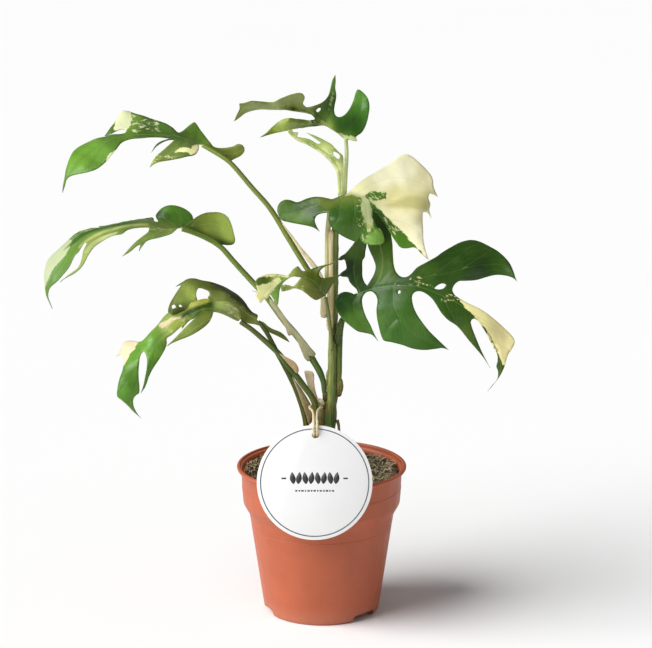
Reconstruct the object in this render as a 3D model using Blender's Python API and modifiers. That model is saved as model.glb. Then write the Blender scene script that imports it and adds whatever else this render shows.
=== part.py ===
"""A potted mini monstera: a variegated climbing aroid with split leaves in a 12 cm nursery pot.

Every size below is in millimetres and is scaled to metres when the meshes are made.
The pot stands upright round the Z axis with its foot at z = 0, and -Y is the front.
"""

import math

import bmesh
import bpy
import numpy as np
from mathutils import Vector

MM = 0.001
CLEARANCE = 0.3  # left between two pieces that touch on the real plant

# Pot: a moulded nursery pot, sold by the diameter over its rim.
RIM_RADIUS = 60.0
POT_HEIGHT = 106.6
WALL = 1.6
LIP_HEIGHT = 3.0
LIP_STEP = 3.2  # how far the rolled lip stands out over the band
BAND_FOOT_Z = 79.5
BAND_TAPER = 1.3
SHOULDER_FOOT_Z = 72.0
SHOULDER_STEP = 4.2
FOOT_RADIUS = 41.0
FLOOR_Z = 4.4
FOOT_RING_WIDTH = 3.2
FOOT_PAD_RADIUS = 9.0
DRAIN_ANGLES = (48.0, 168.0, 288.0)  # degrees round from the front towards +X
DRAIN_WIDTH = 22.0
DRAIN_HEIGHT = 5.0
DRAIN_HOLES = 6
DRAIN_RING = 27.0
DRAIN_HOLE_RADIUS = 3.5

# Soil
SOIL_Z = 96.0
SOIL_BANK = 4.0  # how far it is banked up against the wall

# Hanging tag: a round card that leans back on the lip
TAG_RADIUS = 39.7
TAG_THICKNESS = 0.6
TAG_CENTRE = (-4.7, -59.4, 111.6)
TAG_LEAN = 10.0
TAG_HOLE_RADIUS = 2.6
TAG_HOLE_X = 0.6
TAG_HOLE_HEIGHT = 33.2  # above the middle of the card

# Twine: two strands side by side, knotted together behind the card
TWINE_RADIUS = 1.0
TWINE_GAP = 2.3

# Blades and sheaths are drafted on the upright plane through the pot's axis, and each drafted
# place is then brought forward or back along the sight line of someone who stands in front.
EYE = (3.0, -1839.0, 678.0)
BLADE_THICKNESS = 0.8
BLADE_CELL = 6.0
SHEATH_THICKNESS = 0.8
SHEATH_CELL = 9.0
PIN_SOFTNESS = 5.0

GREEN = (0.045, 0.16, 0.03)
STALK_GREEN = (0.16, 0.25, 0.06)
DRY = (0.55, 0.42, 0.25)
SHEATH_GREEN = (0.33, 0.36, 0.16)


def clear_scene():
    for thing in list(bpy.data.objects):
        bpy.data.objects.remove(thing, do_unlink=True)


def new_collection(name, hidden=False):
    group = bpy.data.collections.new(name)
    bpy.context.scene.collection.children.link(group)
    group.hide_render = hidden
    return group


def finish(thing, colour, roughness, metallic=0.0):
    """Gives a piece its own material and puts it with the other parts."""
    material = bpy.data.materials.new(thing.name)
    material.use_nodes = True
    shader = material.node_tree.nodes["Principled BSDF"]
    shader.inputs["Base Color"].default_value = (*colour, 1.0)
    shader.inputs["Roughness"].default_value = roughness
    shader.inputs["Metallic"].default_value = metallic
    thing.data.materials.clear()
    thing.data.materials.append(material)
    for group in list(thing.users_collection):
        group.objects.unlink(thing)
    PARTS.objects.link(thing)
    return thing


def smooth(thing, angle=40.0):
    thing.data.shade_smooth()
    thing.data.set_sharp_from_angle(angle=math.radians(angle))


def turned(name, profile, steps):
    """A solid of revolution: a closed profile of (radius, z), listed down its outer side first."""
    mesh = bpy.data.meshes.new(name)
    shape = bmesh.new()
    corners = [shape.verts.new((r * MM, 0.0, z * MM)) for r, z in profile]
    for a, b in zip(corners, corners[1:]):
        shape.edges.new((a, b))
    if profile[-1][0] > 0.0:
        shape.edges.new((corners[-1], corners[0]))
    shape.to_mesh(mesh)
    shape.free()
    thing = bpy.data.objects.new(name, mesh)
    bpy.context.scene.collection.objects.link(thing)
    screw = thing.modifiers.new("Turn", "SCREW")
    screw.steps = steps
    screw.render_steps = steps
    screw.use_merge_vertices = True
    screw.merge_threshold = 0.0001
    return thing


def cutter(thing):
    thing.hide_render = True
    thing.display_type = "WIRE"
    for group in list(thing.users_collection):
        group.objects.unlink(thing)
    CUTTERS.objects.link(thing)
    return thing


def cut(thing, tool):
    boolean = thing.modifiers.new("Cut " + tool.name, "BOOLEAN")
    boolean.operation = "DIFFERENCE"
    boolean.object = tool


def sighted(point, depth):
    """Carries a drafted (x, height) to the given depth along the line of sight, in metres."""
    x, height = point
    share = depth / -EYE[1]
    return Vector((x + (x - EYE[0]) * share, depth, height + (height - EYE[2]) * share)) * MM


def through(points, steps, closed=False):
    """Points along a smooth curve through the given ones (Catmull-Rom)."""
    nodes = [np.array(p, float) for p in points]
    if closed:
        nodes = [nodes[-1]] + nodes + nodes[:2]
    else:
        nodes = [2 * nodes[0] - nodes[1]] + nodes + [2 * nodes[-1] - nodes[-2]]
    found = []
    for a, b, c, d in zip(nodes, nodes[1:], nodes[2:], nodes[3:]):
        for t in np.arange(steps) / steps:
            found.append(0.5 * (2 * b + (c - a) * t + (2 * a - 5 * b + 4 * c - d) * t**2
                                + (3 * b - a - 3 * c + d) * t**3))
    if not closed:
        found.append(nodes[-2])
    return found


def pinned_sheet(pins):
    """A smooth map from a flat drawing to where it stands (a thin-plate spline through the pins).

    A pin of three numbers is (x, height, depth) of a place that is drawn where it stands. One of
    five is (along, across, x, depth, height) of a place that was drawn on a leaf laid out flat.
    """
    flat = np.array([pin[:2] for pin in pins], float)
    if len(pins[0]) == 3:
        goal = np.array([(x, depth, height) for x, height, depth in pins], float)
    else:
        goal = np.array([pin[2:] for pin in pins], float)
    count = len(flat)

    def bend(places):
        gap = np.linalg.norm(places[:, None] - flat[None], axis=2)
        return gap**2 * np.log(gap + 1e-9)

    square = np.zeros((count + 3, count + 3))
    square[:count, :count] = bend(flat) + PIN_SOFTNESS * np.eye(count)
    square[:count, count] = 1.0
    square[:count, count + 1:] = flat
    square[count:, :count] = square[:count, count:].T
    weights = np.linalg.solve(square, np.vstack([goal, np.zeros((3, 3))]))

    def place(u, v):
        here = np.array([[u, v]], float)
        x, depth, height = (bend(here) @ weights[:count] + weights[count]
                            + here @ weights[count + 1:])[0]
        if len(pins[0]) == 3:
            x, height = u, v
        return sighted((x, height), depth)

    return place


def sheet(name, outline, pins, thickness, cell, colour, roughness, holes=()):
    """A thin blade: its outline is drawn flat, divided into even cells, bent and then thickened."""
    drawing = bpy.data.curves.new(name, "CURVE")
    drawing.dimensions = "2D"
    drawing.fill_mode = "BOTH"
    for loop in (outline, *holes):
        line = drawing.splines.new("POLY")
        line.points.add(len(loop) - 1)
        for point, (u, v) in zip(line.points, loop):
            point.co = (u, v, 0.0, 1.0)
        line.use_cyclic_u = True
    flat = bpy.data.objects.new(name, drawing)
    bpy.context.scene.collection.objects.link(flat)
    bpy.context.view_layer.update()
    mesh = bpy.data.meshes.new_from_object(flat.evaluated_get(bpy.context.evaluated_depsgraph_get()))
    bpy.data.objects.remove(flat, do_unlink=True)

    shape = bmesh.new()
    shape.from_mesh(mesh)
    bmesh.ops.remove_doubles(shape, verts=shape.verts, dist=0.01)
    bmesh.ops.dissolve_limit(shape, angle_limit=0.01, verts=shape.verts, edges=shape.edges,
                             use_dissolve_boundaries=False)
    spans = np.array(outline, float)
    for axis in (0, 1):
        low, high = spans[:, axis].min(), spans[:, axis].max()
        normal = (1.0, 0.0, 0.0) if axis == 0 else (0.0, 1.0, 0.0)
        for step in np.arange(low + cell / 2, high, cell):
            co = (step, 0.0, 0.0) if axis == 0 else (0.0, step, 0.0)
            bmesh.ops.bisect_plane(shape, geom=shape.verts[:] + shape.edges[:] + shape.faces[:],
                                   dist=0.02, plane_co=co, plane_no=normal)
    bmesh.ops.remove_doubles(shape, verts=shape.verts, dist=0.05)
    bmesh.ops.triangulate(shape, faces=shape.faces)
    place = pinned_sheet(pins)
    for vert in shape.verts:
        vert.co = place(vert.co.x, vert.co.y)
    shape.to_mesh(mesh)
    shape.free()
    mesh.name = name
    blade = bpy.data.objects.new(name, mesh)
    bpy.context.scene.collection.objects.link(blade)
    mesh.shade_smooth()
    wall = blade.modifiers.new("Thickness", "SOLIDIFY")
    wall.thickness = thickness * MM
    wall.offset = 0.0
    return finish(blade, colour, roughness)


def stalk(name, route, radii, colour, roughness=0.45, steps=2):
    """A tapering round stalk through (x, depth, height) points."""
    line = bpy.data.curves.new(name, "CURVE")
    line.dimensions = "3D"
    line.bevel_depth = MM
    line.bevel_resolution = 2
    line.use_fill_caps = True
    points = through([sighted((x, height), depth) for x, depth, height in route], steps)
    widths = np.interp(np.linspace(0, 1, len(points)), np.linspace(0, 1, len(radii)), radii)
    run = line.splines.new("POLY")
    run.points.add(len(points) - 1)
    for point, co, width in zip(run.points, points, widths):
        point.co = (*co, 1.0)
        point.radius = width
    thing = bpy.data.objects.new(name, line)
    bpy.context.scene.collection.objects.link(thing)
    return finish(thing, colour, roughness)


def pot_profile():
    """The pot's wall from its lip down the outside, under the foot and back up the inside."""
    band_top = RIM_RADIUS - LIP_STEP
    band_foot = band_top - BAND_TAPER
    shoulder = band_foot - SHOULDER_STEP
    lip_z = POT_HEIGHT - LIP_HEIGHT
    ring_inside = FOOT_RADIUS - FOOT_RING_WIDTH
    floor_top = FLOOR_Z + WALL
    return [
        (RIM_RADIUS - 1.0, POT_HEIGHT - 0.1), (RIM_RADIUS - 0.2, POT_HEIGHT - 0.8),
        (RIM_RADIUS, POT_HEIGHT - 1.5), (RIM_RADIUS - 0.4, lip_z + 0.7), (RIM_RADIUS - 1.4, lip_z),
        (band_top, lip_z - 0.6), (band_foot, BAND_FOOT_Z), (shoulder, SHOULDER_FOOT_Z),
        (FOOT_RADIUS + 0.5, 5.0), (FOOT_RADIUS - 0.4, 1.2), (FOOT_RADIUS - 1.6, 0.0),
        (ring_inside, 0.0), (ring_inside - 0.6, FLOOR_Z), (FOOT_PAD_RADIUS + 1.0, FLOOR_Z),
        (FOOT_PAD_RADIUS, 0.0), (0.0, 0.0),
    ], [
        (0.0, floor_top), (FOOT_RADIUS - 2.6, floor_top), (FOOT_RADIUS - 1.0, floor_top + 2.0),
        (shoulder - WALL, SHOULDER_FOOT_Z + 0.6), (band_foot - WALL, BAND_FOOT_Z + 0.6),
        (band_top - WALL, lip_z - 0.6), (RIM_RADIUS - 2.9, POT_HEIGHT - 1.8),
        (RIM_RADIUS - 2.6, POT_HEIGHT - 0.6), (RIM_RADIUS - 1.9, POT_HEIGHT),
    ]


def make_pot():
    outside, inside = pot_profile()
    pot = turned("pot", inside[::-1][:1] + outside + inside[:-1], 40)
    for number, angle in enumerate(DRAIN_ANGLES, 1):
        turn = math.radians(angle)
        out = (math.sin(turn), -math.cos(turn))
        bpy.ops.mesh.primitive_cube_add(size=1.0)
        notch = bpy.context.object
        notch.name = f"drain_notch_{number}"
        notch.scale = (DRAIN_WIDTH * MM, 10.0 * MM, DRAIN_HEIGHT * MM)
        notch.rotation_euler = (0.0, 0.0, turn)
        reach = FOOT_RADIUS - 2.0
        notch.location = (out[0] * reach * MM, out[1] * reach * MM, (DRAIN_HEIGHT / 2 - 0.1) * MM)
        cut(pot, cutter(notch))
    for number in range(DRAIN_HOLES):
        turn = math.radians(DRAIN_ANGLES[0] + number * 360.0 / DRAIN_HOLES)
        bpy.ops.mesh.primitive_cylinder_add(vertices=12, radius=DRAIN_HOLE_RADIUS * MM, depth=8 * MM)
        drill = bpy.context.object
        drill.name = f"drain_drill_{number + 1}"
        drill.location = (math.sin(turn) * DRAIN_RING * MM, -math.cos(turn) * DRAIN_RING * MM,
                          (FLOOR_Z + WALL / 2) * MM)
        cut(pot, cutter(drill))
    finish(pot, (0.60, 0.17, 0.085), 0.42)
    smooth(pot)


def make_soil():
    _, inside = pot_profile()
    wall = [(r - CLEARANCE if r > 0 else r, z + (CLEARANCE if z < 8 else 0)) for r, z in inside[:-4]]
    top_radius = RIM_RADIUS - LIP_STEP - WALL - CLEARANCE
    top = [(0.0, SOIL_Z), (18.0, SOIL_Z), (36.0, SOIL_Z + SOIL_BANK / 2),
           (top_radius - 1.2, SOIL_Z + SOIL_BANK), (top_radius - 0.2, SOIL_Z + SOIL_BANK - 0.6)]
    soil = turned("soil", top + wall[::-1], 32)
    finish(soil, (0.06, 0.045, 0.02), 0.95)
    smooth(soil)


def on_card(x, rise, out):
    """A place beside the leaning card: so far up it from its middle, and so far in front of it."""
    lean = math.radians(TAG_LEAN)
    return (TAG_CENTRE[0] + x, TAG_CENTRE[1] + rise * math.sin(lean) - out * math.cos(lean),
            TAG_CENTRE[2] + rise * math.cos(lean) + out * math.sin(lean))


def make_tag():
    bpy.ops.mesh.primitive_cylinder_add(vertices=64, radius=TAG_RADIUS * MM, depth=TAG_THICKNESS * MM)
    tag = bpy.context.object
    tag.name = "tag"
    tag.data.name = "tag"
    lean = math.radians(90.0 - TAG_LEAN)
    tag.rotation_euler = (lean, 0.0, 0.0)
    tag.location = [c * MM for c in TAG_CENTRE]
    bpy.ops.mesh.primitive_cylinder_add(vertices=16, radius=TAG_HOLE_RADIUS * MM, depth=8 * MM)
    punch = bpy.context.object
    punch.name = "tag_punch"
    punch.rotation_euler = (lean, 0.0, 0.0)
    punch.location = [c * MM for c in on_card(TAG_HOLE_X, TAG_HOLE_HEIGHT, 0.0)]
    cut(tag, cutter(punch))
    finish(tag, (0.86, 0.86, 0.84), 0.6)


def make_twine():
    """One length of twine: from its knot through the hole, over the card, round a leaf stalk
    and back the same way.
    """
    strand = TWINE_GAP / 2
    hole_to_edge = [(TAG_HOLE_HEIGHT - 0.4, -1.9), (TAG_HOLE_HEIGHT + 0.1, -0.8),
                    (TAG_HOLE_HEIGHT + 0.9, 0.9), (TAG_HOLE_HEIGHT + 3.0, 1.9),
                    (TAG_RADIUS + 0.1, 2.0), (TAG_RADIUS + 1.9, 0.8), (TAG_RADIUS + 2.0, -1.6)]
    left = [on_card(TAG_HOLE_X - strand, *step) for step in hole_to_edge]
    right = [on_card(TAG_HOLE_X + strand, *step) for step in hole_to_edge[::-1]]
    loop = [(-5.4, -42.0, 152.2), (-5.6, -30.0, 151.4), (-6.2, -18.0, 150.6), (-7.7, -10.0, 150.1),
            (-8.4, -5.4, 149.9), (-7.3, -2.3, 149.9), (-4.6, -1.0, 149.9), (-1.9, -2.3, 149.9),
            (-0.8, -5.4, 149.9), (-1.5, -10.0, 150.1), (-2.7, -18.0, 150.6), (-3.0, -30.0, 151.4),
            (-3.2, -42.0, 152.2)]
    line = bpy.data.curves.new("twine", "CURVE")
    line.dimensions = "3D"
    line.bevel_depth = TWINE_RADIUS * MM
    line.bevel_resolution = 2
    line.use_fill_caps = True
    points = through(left + loop + right, 2)
    run = line.splines.new("POLY")
    run.points.add(len(points) - 1)
    for point, co in zip(run.points, points):
        point.co = (*(co * MM), 1.0)
    thing = bpy.data.objects.new("twine", line)
    bpy.context.scene.collection.objects.link(thing)
    finish(thing, (0.72, 0.58, 0.38), 0.85)

    bpy.ops.mesh.primitive_uv_sphere_add(segments=16, ring_count=8, radius=MM)
    knot = bpy.context.object
    knot.name = "twine_knot"
    knot.data.name = "twine_knot"
    knot.scale = (3.3, 2.2, 2.2)
    knot.location = [c * MM for c in on_card(TAG_HOLE_X, TAG_HOLE_HEIGHT - 1.1, -4.4)]
    finish(knot, (0.72, 0.58, 0.38), 0.85)
    smooth(knot)


BLADES = {
    # The topmost leaf, thrown out to the left, its last lobe standing up as a spike
    "leaf_top": {
        "outline": [
            (15, 340.6), (19, 339.4), (24.5, 338.7), (23.6, 341), (28, 345), (30.6, 350),
            (32.2, 356), (32.9, 363), (31.8, 368), (29, 371.6), (25, 374.1), (23.6, 372),
            (22, 367), (19.5, 361.5), (16.5, 357.4), (12.7, 355.1), (10, 355.8), (8.8, 359),
            (9, 363), (10, 369), (9.4, 375), (9.8, 380), (9.6, 384.3), (8, 381), (6.5, 376),
            (4.5, 370), (1, 365.7), (-4, 363.2), (-8, 362.2), (-10.5, 362.2), (-12.6, 364.6),
            (-11.4, 369), (-12.8, 371.3), (-16, 371.9), (-21, 370.6), (-28, 368), (-34, 365.4),
            (-42, 365.7), (-48, 366.5), (-52, 365.2), (-54, 364.6), (-56.2, 364.2), (-56, 361.3),
            (-58, 357), (-60.2, 352.3), (-56, 355), (-52, 358), (-45, 360.2), (-35, 360.4),
            (-25, 360.1), (-18, 359.2), (-10, 357.7), (-6, 356.4), (-4.4, 353.9), (-8, 352.8),
            (-13, 353.6), (-17, 353.9), (-22, 354.5), (-28, 352.8), (-34, 348), (-38, 344.2),
            (-42.2, 341.4), (-36, 343), (-30, 344.4), (-22, 346.3), (-13, 347.8), (-5, 348.8),
            (2, 349.2), (8, 345.8), (12, 343.3),
        ],
        "holes": [
            [
                (-3.7, 359.5), (-2.2, 361.3), (-0.6, 361.6), (-0.6, 360.2), (-2.6, 358.6),
            ],
        ],
        "pins": [
            (15, 341, -2), (8, 347, -2), (28, 345, 6), (32.8, 363, 12), (25, 374, 24),
            (20, 362, 13), (12.5, 355, 5), (9.5, 384, 25), (7, 368, 13), (-2, 357, 5),
            (-10, 361.5, 5), (-12, 370.5, -19), (-20, 370.5, -19), (-30, 367, -12), (-20, 360, 22),
            (-35, 360.5, 25), (-48, 366, -9), (-45, 360.3, 22), (-60, 352.5, 5), (-8, 352.5, -2),
            (-22, 354.3, -26), (-30, 345, 5), (-42, 341.5, -16), (-13, 348, 12), (2, 349, 1),
            (24, 338.8, -12), (23, 341.5, -4),
        ],
    },
    # The palest leaf, arched over towards the viewer so that its lobes hang
    "leaf_cream": {
        "outline": [
            (7, 298), (9.5, 298.8), (14, 300.8), (17, 301.3), (20, 304), (24, 307.3), (31, 313),
            (40, 318.2), (48, 323.5), (54, 328), (58, 329.4), (62, 328), (68, 322.7), (74, 316.5),
            (76.5, 312), (77.5, 306), (80.6, 299.4), (77.5, 301.2), (74.6, 301.6), (73.6, 299),
            (75, 294), (74.3, 290.3), (76.2, 284.6), (73.2, 288.3), (70.2, 288.5), (70, 283),
            (70.2, 275), (70.8, 268), (72, 262), (74.8, 254.6), (69, 259.7), (65, 263.6),
            (58, 263), (55, 263.6), (52, 267), (48, 273.3), (43.5, 281), (40, 286), (37, 289.3),
            (35.3, 288), (36.5, 283.5), (38.5, 278.5), (41, 276.5), (43, 272), (43.5, 268),
            (42, 266.2), (38, 265.4), (34, 265.5), (30, 266.6), (27.3, 268.3), (26.6, 270.5),
            (25.9, 270), (24.4, 267.7), (20, 269), (14, 272.3), (9, 276), (6, 279), (4.9, 284),
            (5.3, 288.6), (3, 288.3), (0, 287.8), (-3, 286.5), (-4.7, 283.5), (-3.6, 279),
            (-1.3, 275), (-5, 277.6), (-9, 278.8), (-15, 280), (-22, 281.4), (-28, 283.3),
            (-30, 287), (-30.6, 291), (-29, 295), (-25, 297.3), (-21, 297), (-17, 295.7),
            (-10, 298.1), (-5, 299.3), (0, 299), (4, 298.4),
        ],
        "holes": [
        ],
        "pins": [
            (7, 298, -5), (20, 300.5, -9), (29, 299.5, -13), (15, 288, -24), (15, 273, -28),
            (5, 284, -25), (25, 268, -27), (31, 285, -25), (36, 266, -31), (27, 276, -27),
            (36, 289, -20), (40, 290, -18), (55, 275.5, -23), (74.5, 255, -31), (55, 264, -27),
            (70, 275, -20), (69, 288, -12), (40, 301, -8), (24, 307, -2), (45, 321.5, 9),
            (58, 329, 15), (74, 316, 14), (80.5, 299.5, 5), (76, 285, -4), (60, 306, 0),
            (50, 297, -9), (0, 298.5, -5), (-10, 297.5, -3), (-25, 296.8, -1), (-30, 289, -5),
            (-28, 284, -8), (-15, 281, -12), (-1.5, 275.3, -17), (-4, 284, -15), (2, 288.3, -17),
        ],
    },
    # The biggest leaf: two lobes point down inside, and a long one curls down at the end
    "leaf_right": {
        "outline": [
            (25, 230.5), (24.5, 233.5), (22, 236), (19.5, 239), (18, 242.3), (14.5, 242.8),
            (12, 243.8), (14, 246), (17.2, 248.6), (17.2, 250.5), (15.8, 255), (13, 254.4),
            (11.3, 255), (13.5, 257.5), (16, 259), (20, 263.5), (24, 269), (28, 274), (31, 273),
            (31.3, 266), (30.3, 260), (30, 256.5), (28.8, 255), (28.4, 248), (28.5, 243),
            (30, 238.6), (31.8, 236.7), (34, 240), (36.5, 245), (37.6, 250), (36, 255.5),
            (33.5, 261), (31.9, 266), (32, 274), (33.5, 283), (36, 289.5), (40, 286.5),
            (44.3, 281.5), (47.3, 275.5), (49, 268), (49.6, 258), (50.5, 250), (52, 246),
            (54.5, 243.3), (57.5, 242.4), (60, 243), (62.5, 245), (66, 249), (72, 252.5),
            (79, 256.5), (84, 260.3), (90, 264), (96, 267.3), (101, 268.6), (106, 268.6),
            (111, 267.3), (117, 264.3), (122, 261.3), (127, 257), (131, 252), (133.5, 246.5),
            (135, 242), (136.3, 239), (134.5, 241), (132, 242.5), (127, 243.8), (121, 244),
            (114, 242.3), (107, 240.3), (100, 239.8), (95.5, 239.5), (92.5, 237), (91, 233.3),
            (92.5, 230), (96, 227.3), (103, 223.5), (110, 220), (116, 216), (122, 211),
            (128, 205.5), (133.3, 200.3), (135.2, 196.5), (134, 192), (131, 187), (129.5, 182),
            (128, 177), (125, 171), (121.5, 166), (116.6, 159.8), (119.8, 164.5), (123.2, 168.8),
            (123.8, 174.5), (122.6, 178.3), (123.4, 182), (123, 187), (120.3, 192.5), (117, 199),
            (113, 206), (109, 211.4), (106.5, 212.8), (104.4, 211), (105.3, 206), (108, 199),
            (111.3, 191), (114.5, 184), (118.2, 177), (113.5, 184.5), (108, 191.3), (102.5, 197.7),
            (98.5, 203), (94.5, 207.5), (88, 212), (83.5, 217), (80.5, 222), (77, 227),
            (73, 230.5), (69, 232.3), (65.5, 232), (63.3, 229.5), (63.5, 224), (66, 217),
            (70.5, 210), (76, 203), (82, 197), (89.2, 190), (85, 191.4), (80, 190.8), (72, 190),
            (64, 191), (57, 193.5), (49, 195.7), (43.3, 197), (41.8, 200), (40.3, 206), (39, 212),
            (38.5, 219), (39, 226), (37.6, 230), (34.5, 232.3), (31, 231.5), (28.6, 228),
            (28.6, 222), (31, 214), (34.5, 207), (37, 201), (39.2, 196.3), (35.5, 200.8),
            (30, 202.5), (25.5, 203.5), (20, 207.5), (15, 212), (11.5, 217), (9.6, 222),
            (9.8, 227), (12, 230.3), (16, 232), (20, 231.5), (23, 230.3),
        ],
        "holes": [
            [
                (78.5, 234.4), (81, 236.8), (84.5, 238), (86.6, 237), (85, 234.6), (81.5, 233.7),
            ],
            [
                (53.2, 230.4), (53.4, 232.6), (54.8, 233.2), (54.9, 231.2),
            ],
        ],
        "pins": [
            (25, 230.5, -10), (45, 236, -16), (65, 236, -21), (88, 227.5, -22), (103, 218, -24),
            (115, 205, -27), (124, 185, -35), (117, 160, -40), (39, 196.5, -22), (10, 224, -11),
            (20, 207, -16), (42, 198, -25), (89, 190, -30), (60, 215, -27), (118, 177, -32),
            (98, 205, -26), (11.5, 255, -7), (12, 244, -8), (28, 273, -3), (36, 289, 3),
            (49, 262, -6), (33, 262, -3), (66, 249, -14), (101, 268.5, 2), (122, 261, 2),
            (136, 239, -12), (105, 250, -12), (110, 241, -9), (133, 198, -20), (128, 205, -17),
        ],
    },
    # A long leaf that reaches up and to the left
    "leaf_upper_left": {
        "outline": [
            (-84, 336.4), (-80, 334.8), (-76, 331.8), (-70, 328), (-64, 324.2), (-60, 326),
            (-55.3, 328.5), (-52.8, 332), (-54, 335.5), (-57, 336.6), (-61, 334.8), (-67, 333.8),
            (-74, 334.3), (-76.5, 337.5), (-80, 342), (-83.5, 346.5), (-87, 351.6), (-92, 348.2),
            (-95.5, 345.4), (-98, 344.2), (-103, 348.6), (-110, 352), (-118, 354.6), (-126, 357),
            (-132, 358.9), (-136, 359.3), (-139, 356.5), (-142, 351.3), (-146, 346), (-149, 342.2),
            (-145, 343.3), (-141, 345.4), (-137, 346.5), (-133.8, 346.2), (-134.5, 344.4),
            (-138, 343.4), (-143, 343), (-147, 342), (-155, 340), (-163, 336.6), (-170, 332),
            (-173.5, 326), (-175.7, 320), (-177, 313.5), (-178.3, 308), (-179, 302.4),
            (-177.2, 307), (-175.8, 311.8), (-173, 314), (-163, 316.4), (-155, 319), (-149, 323.4),
            (-145, 328), (-141, 333.2), (-138, 337), (-133, 339.4), (-125, 340.5), (-118, 341.2),
            (-110, 341.2), (-104, 340.7), (-110, 338.5), (-114, 335.6), (-117, 330.6),
            (-113.2, 335), (-109.5, 337.5), (-105.5, 339.4), (-101, 339.4), (-105, 335.8),
            (-110, 331.3), (-115, 326.7), (-118.2, 320.4), (-113, 323.4), (-105, 325),
            (-98, 326.4), (-92, 328), (-86.5, 329.3), (-84.5, 332.3),
        ],
        "holes": [
        ],
        "pins": [
            (-84, 337, 4), (-64, 324.5, 3), (-53, 332, -7), (-56, 336, -8), (-70, 333.5, 3),
            (-100, 342, -1), (-125, 343, -5), (-146, 339, -10), (-164, 327, -18), (-176, 313, -25),
            (-179, 302.5, -26), (-163, 336.5, -1), (-173, 328, -11), (-163, 316.5, -31),
            (-149, 323.5, -28), (-138, 337, -16), (-103, 348.5, 10), (-118, 354.5, 22),
            (-134, 359, 26), (-142, 351, 14), (-149, 342, 2), (-134, 347, 4), (-118, 348, 3),
            (-87, 351.5, 22), (-92, 347, 14), (-79, 341, 12), (-92, 334, -14), (-105, 325, -28),
            (-118, 320.5, -34), (-105, 336, -16), (-86, 329.5, -18), (-116.5, 331.5, -26),
        ],
    },
    # Drawn flat, stalk to tip, since it twists too much to draw where it stands
    "leaf_left": {
        "outline": [
            (0, 0.8), (-3, 4), (-8, 7), (-13, 12), (-14, 19), (-9, 26), (-1, 30), (7, 29.5),
            (12.5, 25), (14.5, 17), (14.5, 10), (16, 6), (17.5, 9), (17, 16), (17.5, 23),
            (21, 27.5), (27, 27), (31.5, 22), (33.5, 14), (35, 7.5), (37, 10), (37.5, 17),
            (40, 24), (45, 27.5), (49.5, 26), (51.5, 21), (52, 13), (53.5, 8.5), (55, 10),
            (57.5, 15), (62, 17.5), (74, 18.5), (88, 17), (98, 13), (106, 8), (112, 3.5),
            (120, 1.3), (127, 0), (120, -1.2), (112, -3), (104, -7), (94, -10.5), (84, -12),
            (74, -12), (68, -9.5), (64, -6), (62, -10), (66, -15.5), (72, -21), (79, -25),
            (84, -28), (92, -34), (82, -31), (74, -28.5), (66, -25), (58, -20), (50, -14.5),
            (45, -12.5), (41, -12.5), (36, -8.5), (28, -6.3), (21, -5), (22, -10), (27, -17),
            (34, -24), (44, -32), (34, -29), (27, -25.5), (24, -29), (19.5, -34.5), (22, -28),
            (22.5, -23.3), (14, -19), (6, -14), (2, -8), (0, -4.5), (-3, -8), (-4, -14), (-6, -20),
            (-12, -25), (-20, -26), (-28, -22), (-32, -15), (-31, -8), (-25, -3), (-14, -1.5),
            (-4, -1.2),
        ],
        "holes": [
        ],
        "pins": [
            (0, 0, -99, 0.5, 277.8), (21, 0, -120, 0, 281.6), (36, 0, -135, -1, 280),
            (51, 0, -150, -3, 276.6), (62, 0, -161, -4, 272.5), (74, 0, -170.5, -6, 265),
            (88, 0, -179, -9, 254.3), (100, 0, -186, -11, 246), (110, 0, -190.5, -13, 237),
            (118, 0, -191.5, -15, 229), (127, 0, -188, -17, 219.5), (74, 18.5, -178, 8, 266.5),
            (88, 17, -188.5, 4, 256.5), (98, 13, -192, -2, 249), (62, 17, -168, 12, 275),
            (84, -12, -171.5, -17, 258), (94, -10.5, -176, -18, 249), (104, -7, -183.5, -17, 240),
            (64, -6, -164.5, -9, 267), (92, -34, -182, -30, 239), (79, -25, -169.3, -26, 249),
            (66, -15.5, -165, -19, 261), (66, -25, -163, -25, 256), (58, -20, -157.5, -21, 264),
            (45, -12.5, -143, -14, 272.3), (21, -5, -119.5, -7, 277.7),
            (44, -32, -138.5, -26, 257.3), (22.5, -23.3, -121.5, -22, 268),
            (19.5, -34.5, -126.8, -24, 261), (6, -14, -104, -13, 273.5), (-1, 30, -105, 16, 293.6),
            (-13, 16, -90, 12, 285), (13, 24, -114.5, 15, 286.5), (15, 9, -113.5, 7, 282),
            (21, 27, -120, 24, 284.6), (31.5, 22, -130, 20, 282.8), (46, 27, -148, 20, 279.5),
            (52, 14, -153, 10, 278.2), (-14, -1.5, -85, 2, 272), (-25, -3, -73, 1.5, 266.3),
            (-31, -9, -62, -3, 266), (-30, -18, -61.5, -6, 273), (-24, -24, -65, 0, 285),
            (-16, -26, -73, 4, 288.7), (-7, -20, -84, 3, 286.5), (-3.5, -11, -92, -2, 281),
        ],
    },
    # A small leaf held close to the stem
    "leaf_small": {
        "outline": [
            (2.6, 229.2), (1, 228.5), (-1, 227.2), (-4, 226), (-7, 227.6), (-11, 231),
            (-15, 233.5), (-19, 234.4), (-23, 233.1), (-27.6, 232.4), (-28.2, 234.5),
            (-27.4, 236.8), (-24, 237), (-20, 236), (-17.5, 238), (-15.4, 240.8), (-14, 242.3),
            (-16.5, 242.9), (-20.5, 242.7), (-23.5, 241.2), (-27, 237.8), (-29.1, 233.5),
            (-29.6, 228.5), (-30.6, 222.3), (-31.6, 222.6), (-33, 226), (-36, 230.4), (-37, 227.6),
            (-40, 226.6), (-42.4, 224), (-45, 227.4), (-46.2, 229.9), (-44.6, 231), (-48.8, 232.8),
            (-44.4, 232.6), (-45.2, 236), (-45.6, 240.3), (-43, 242.6), (-38, 244.4), (-30, 244.4),
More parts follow.
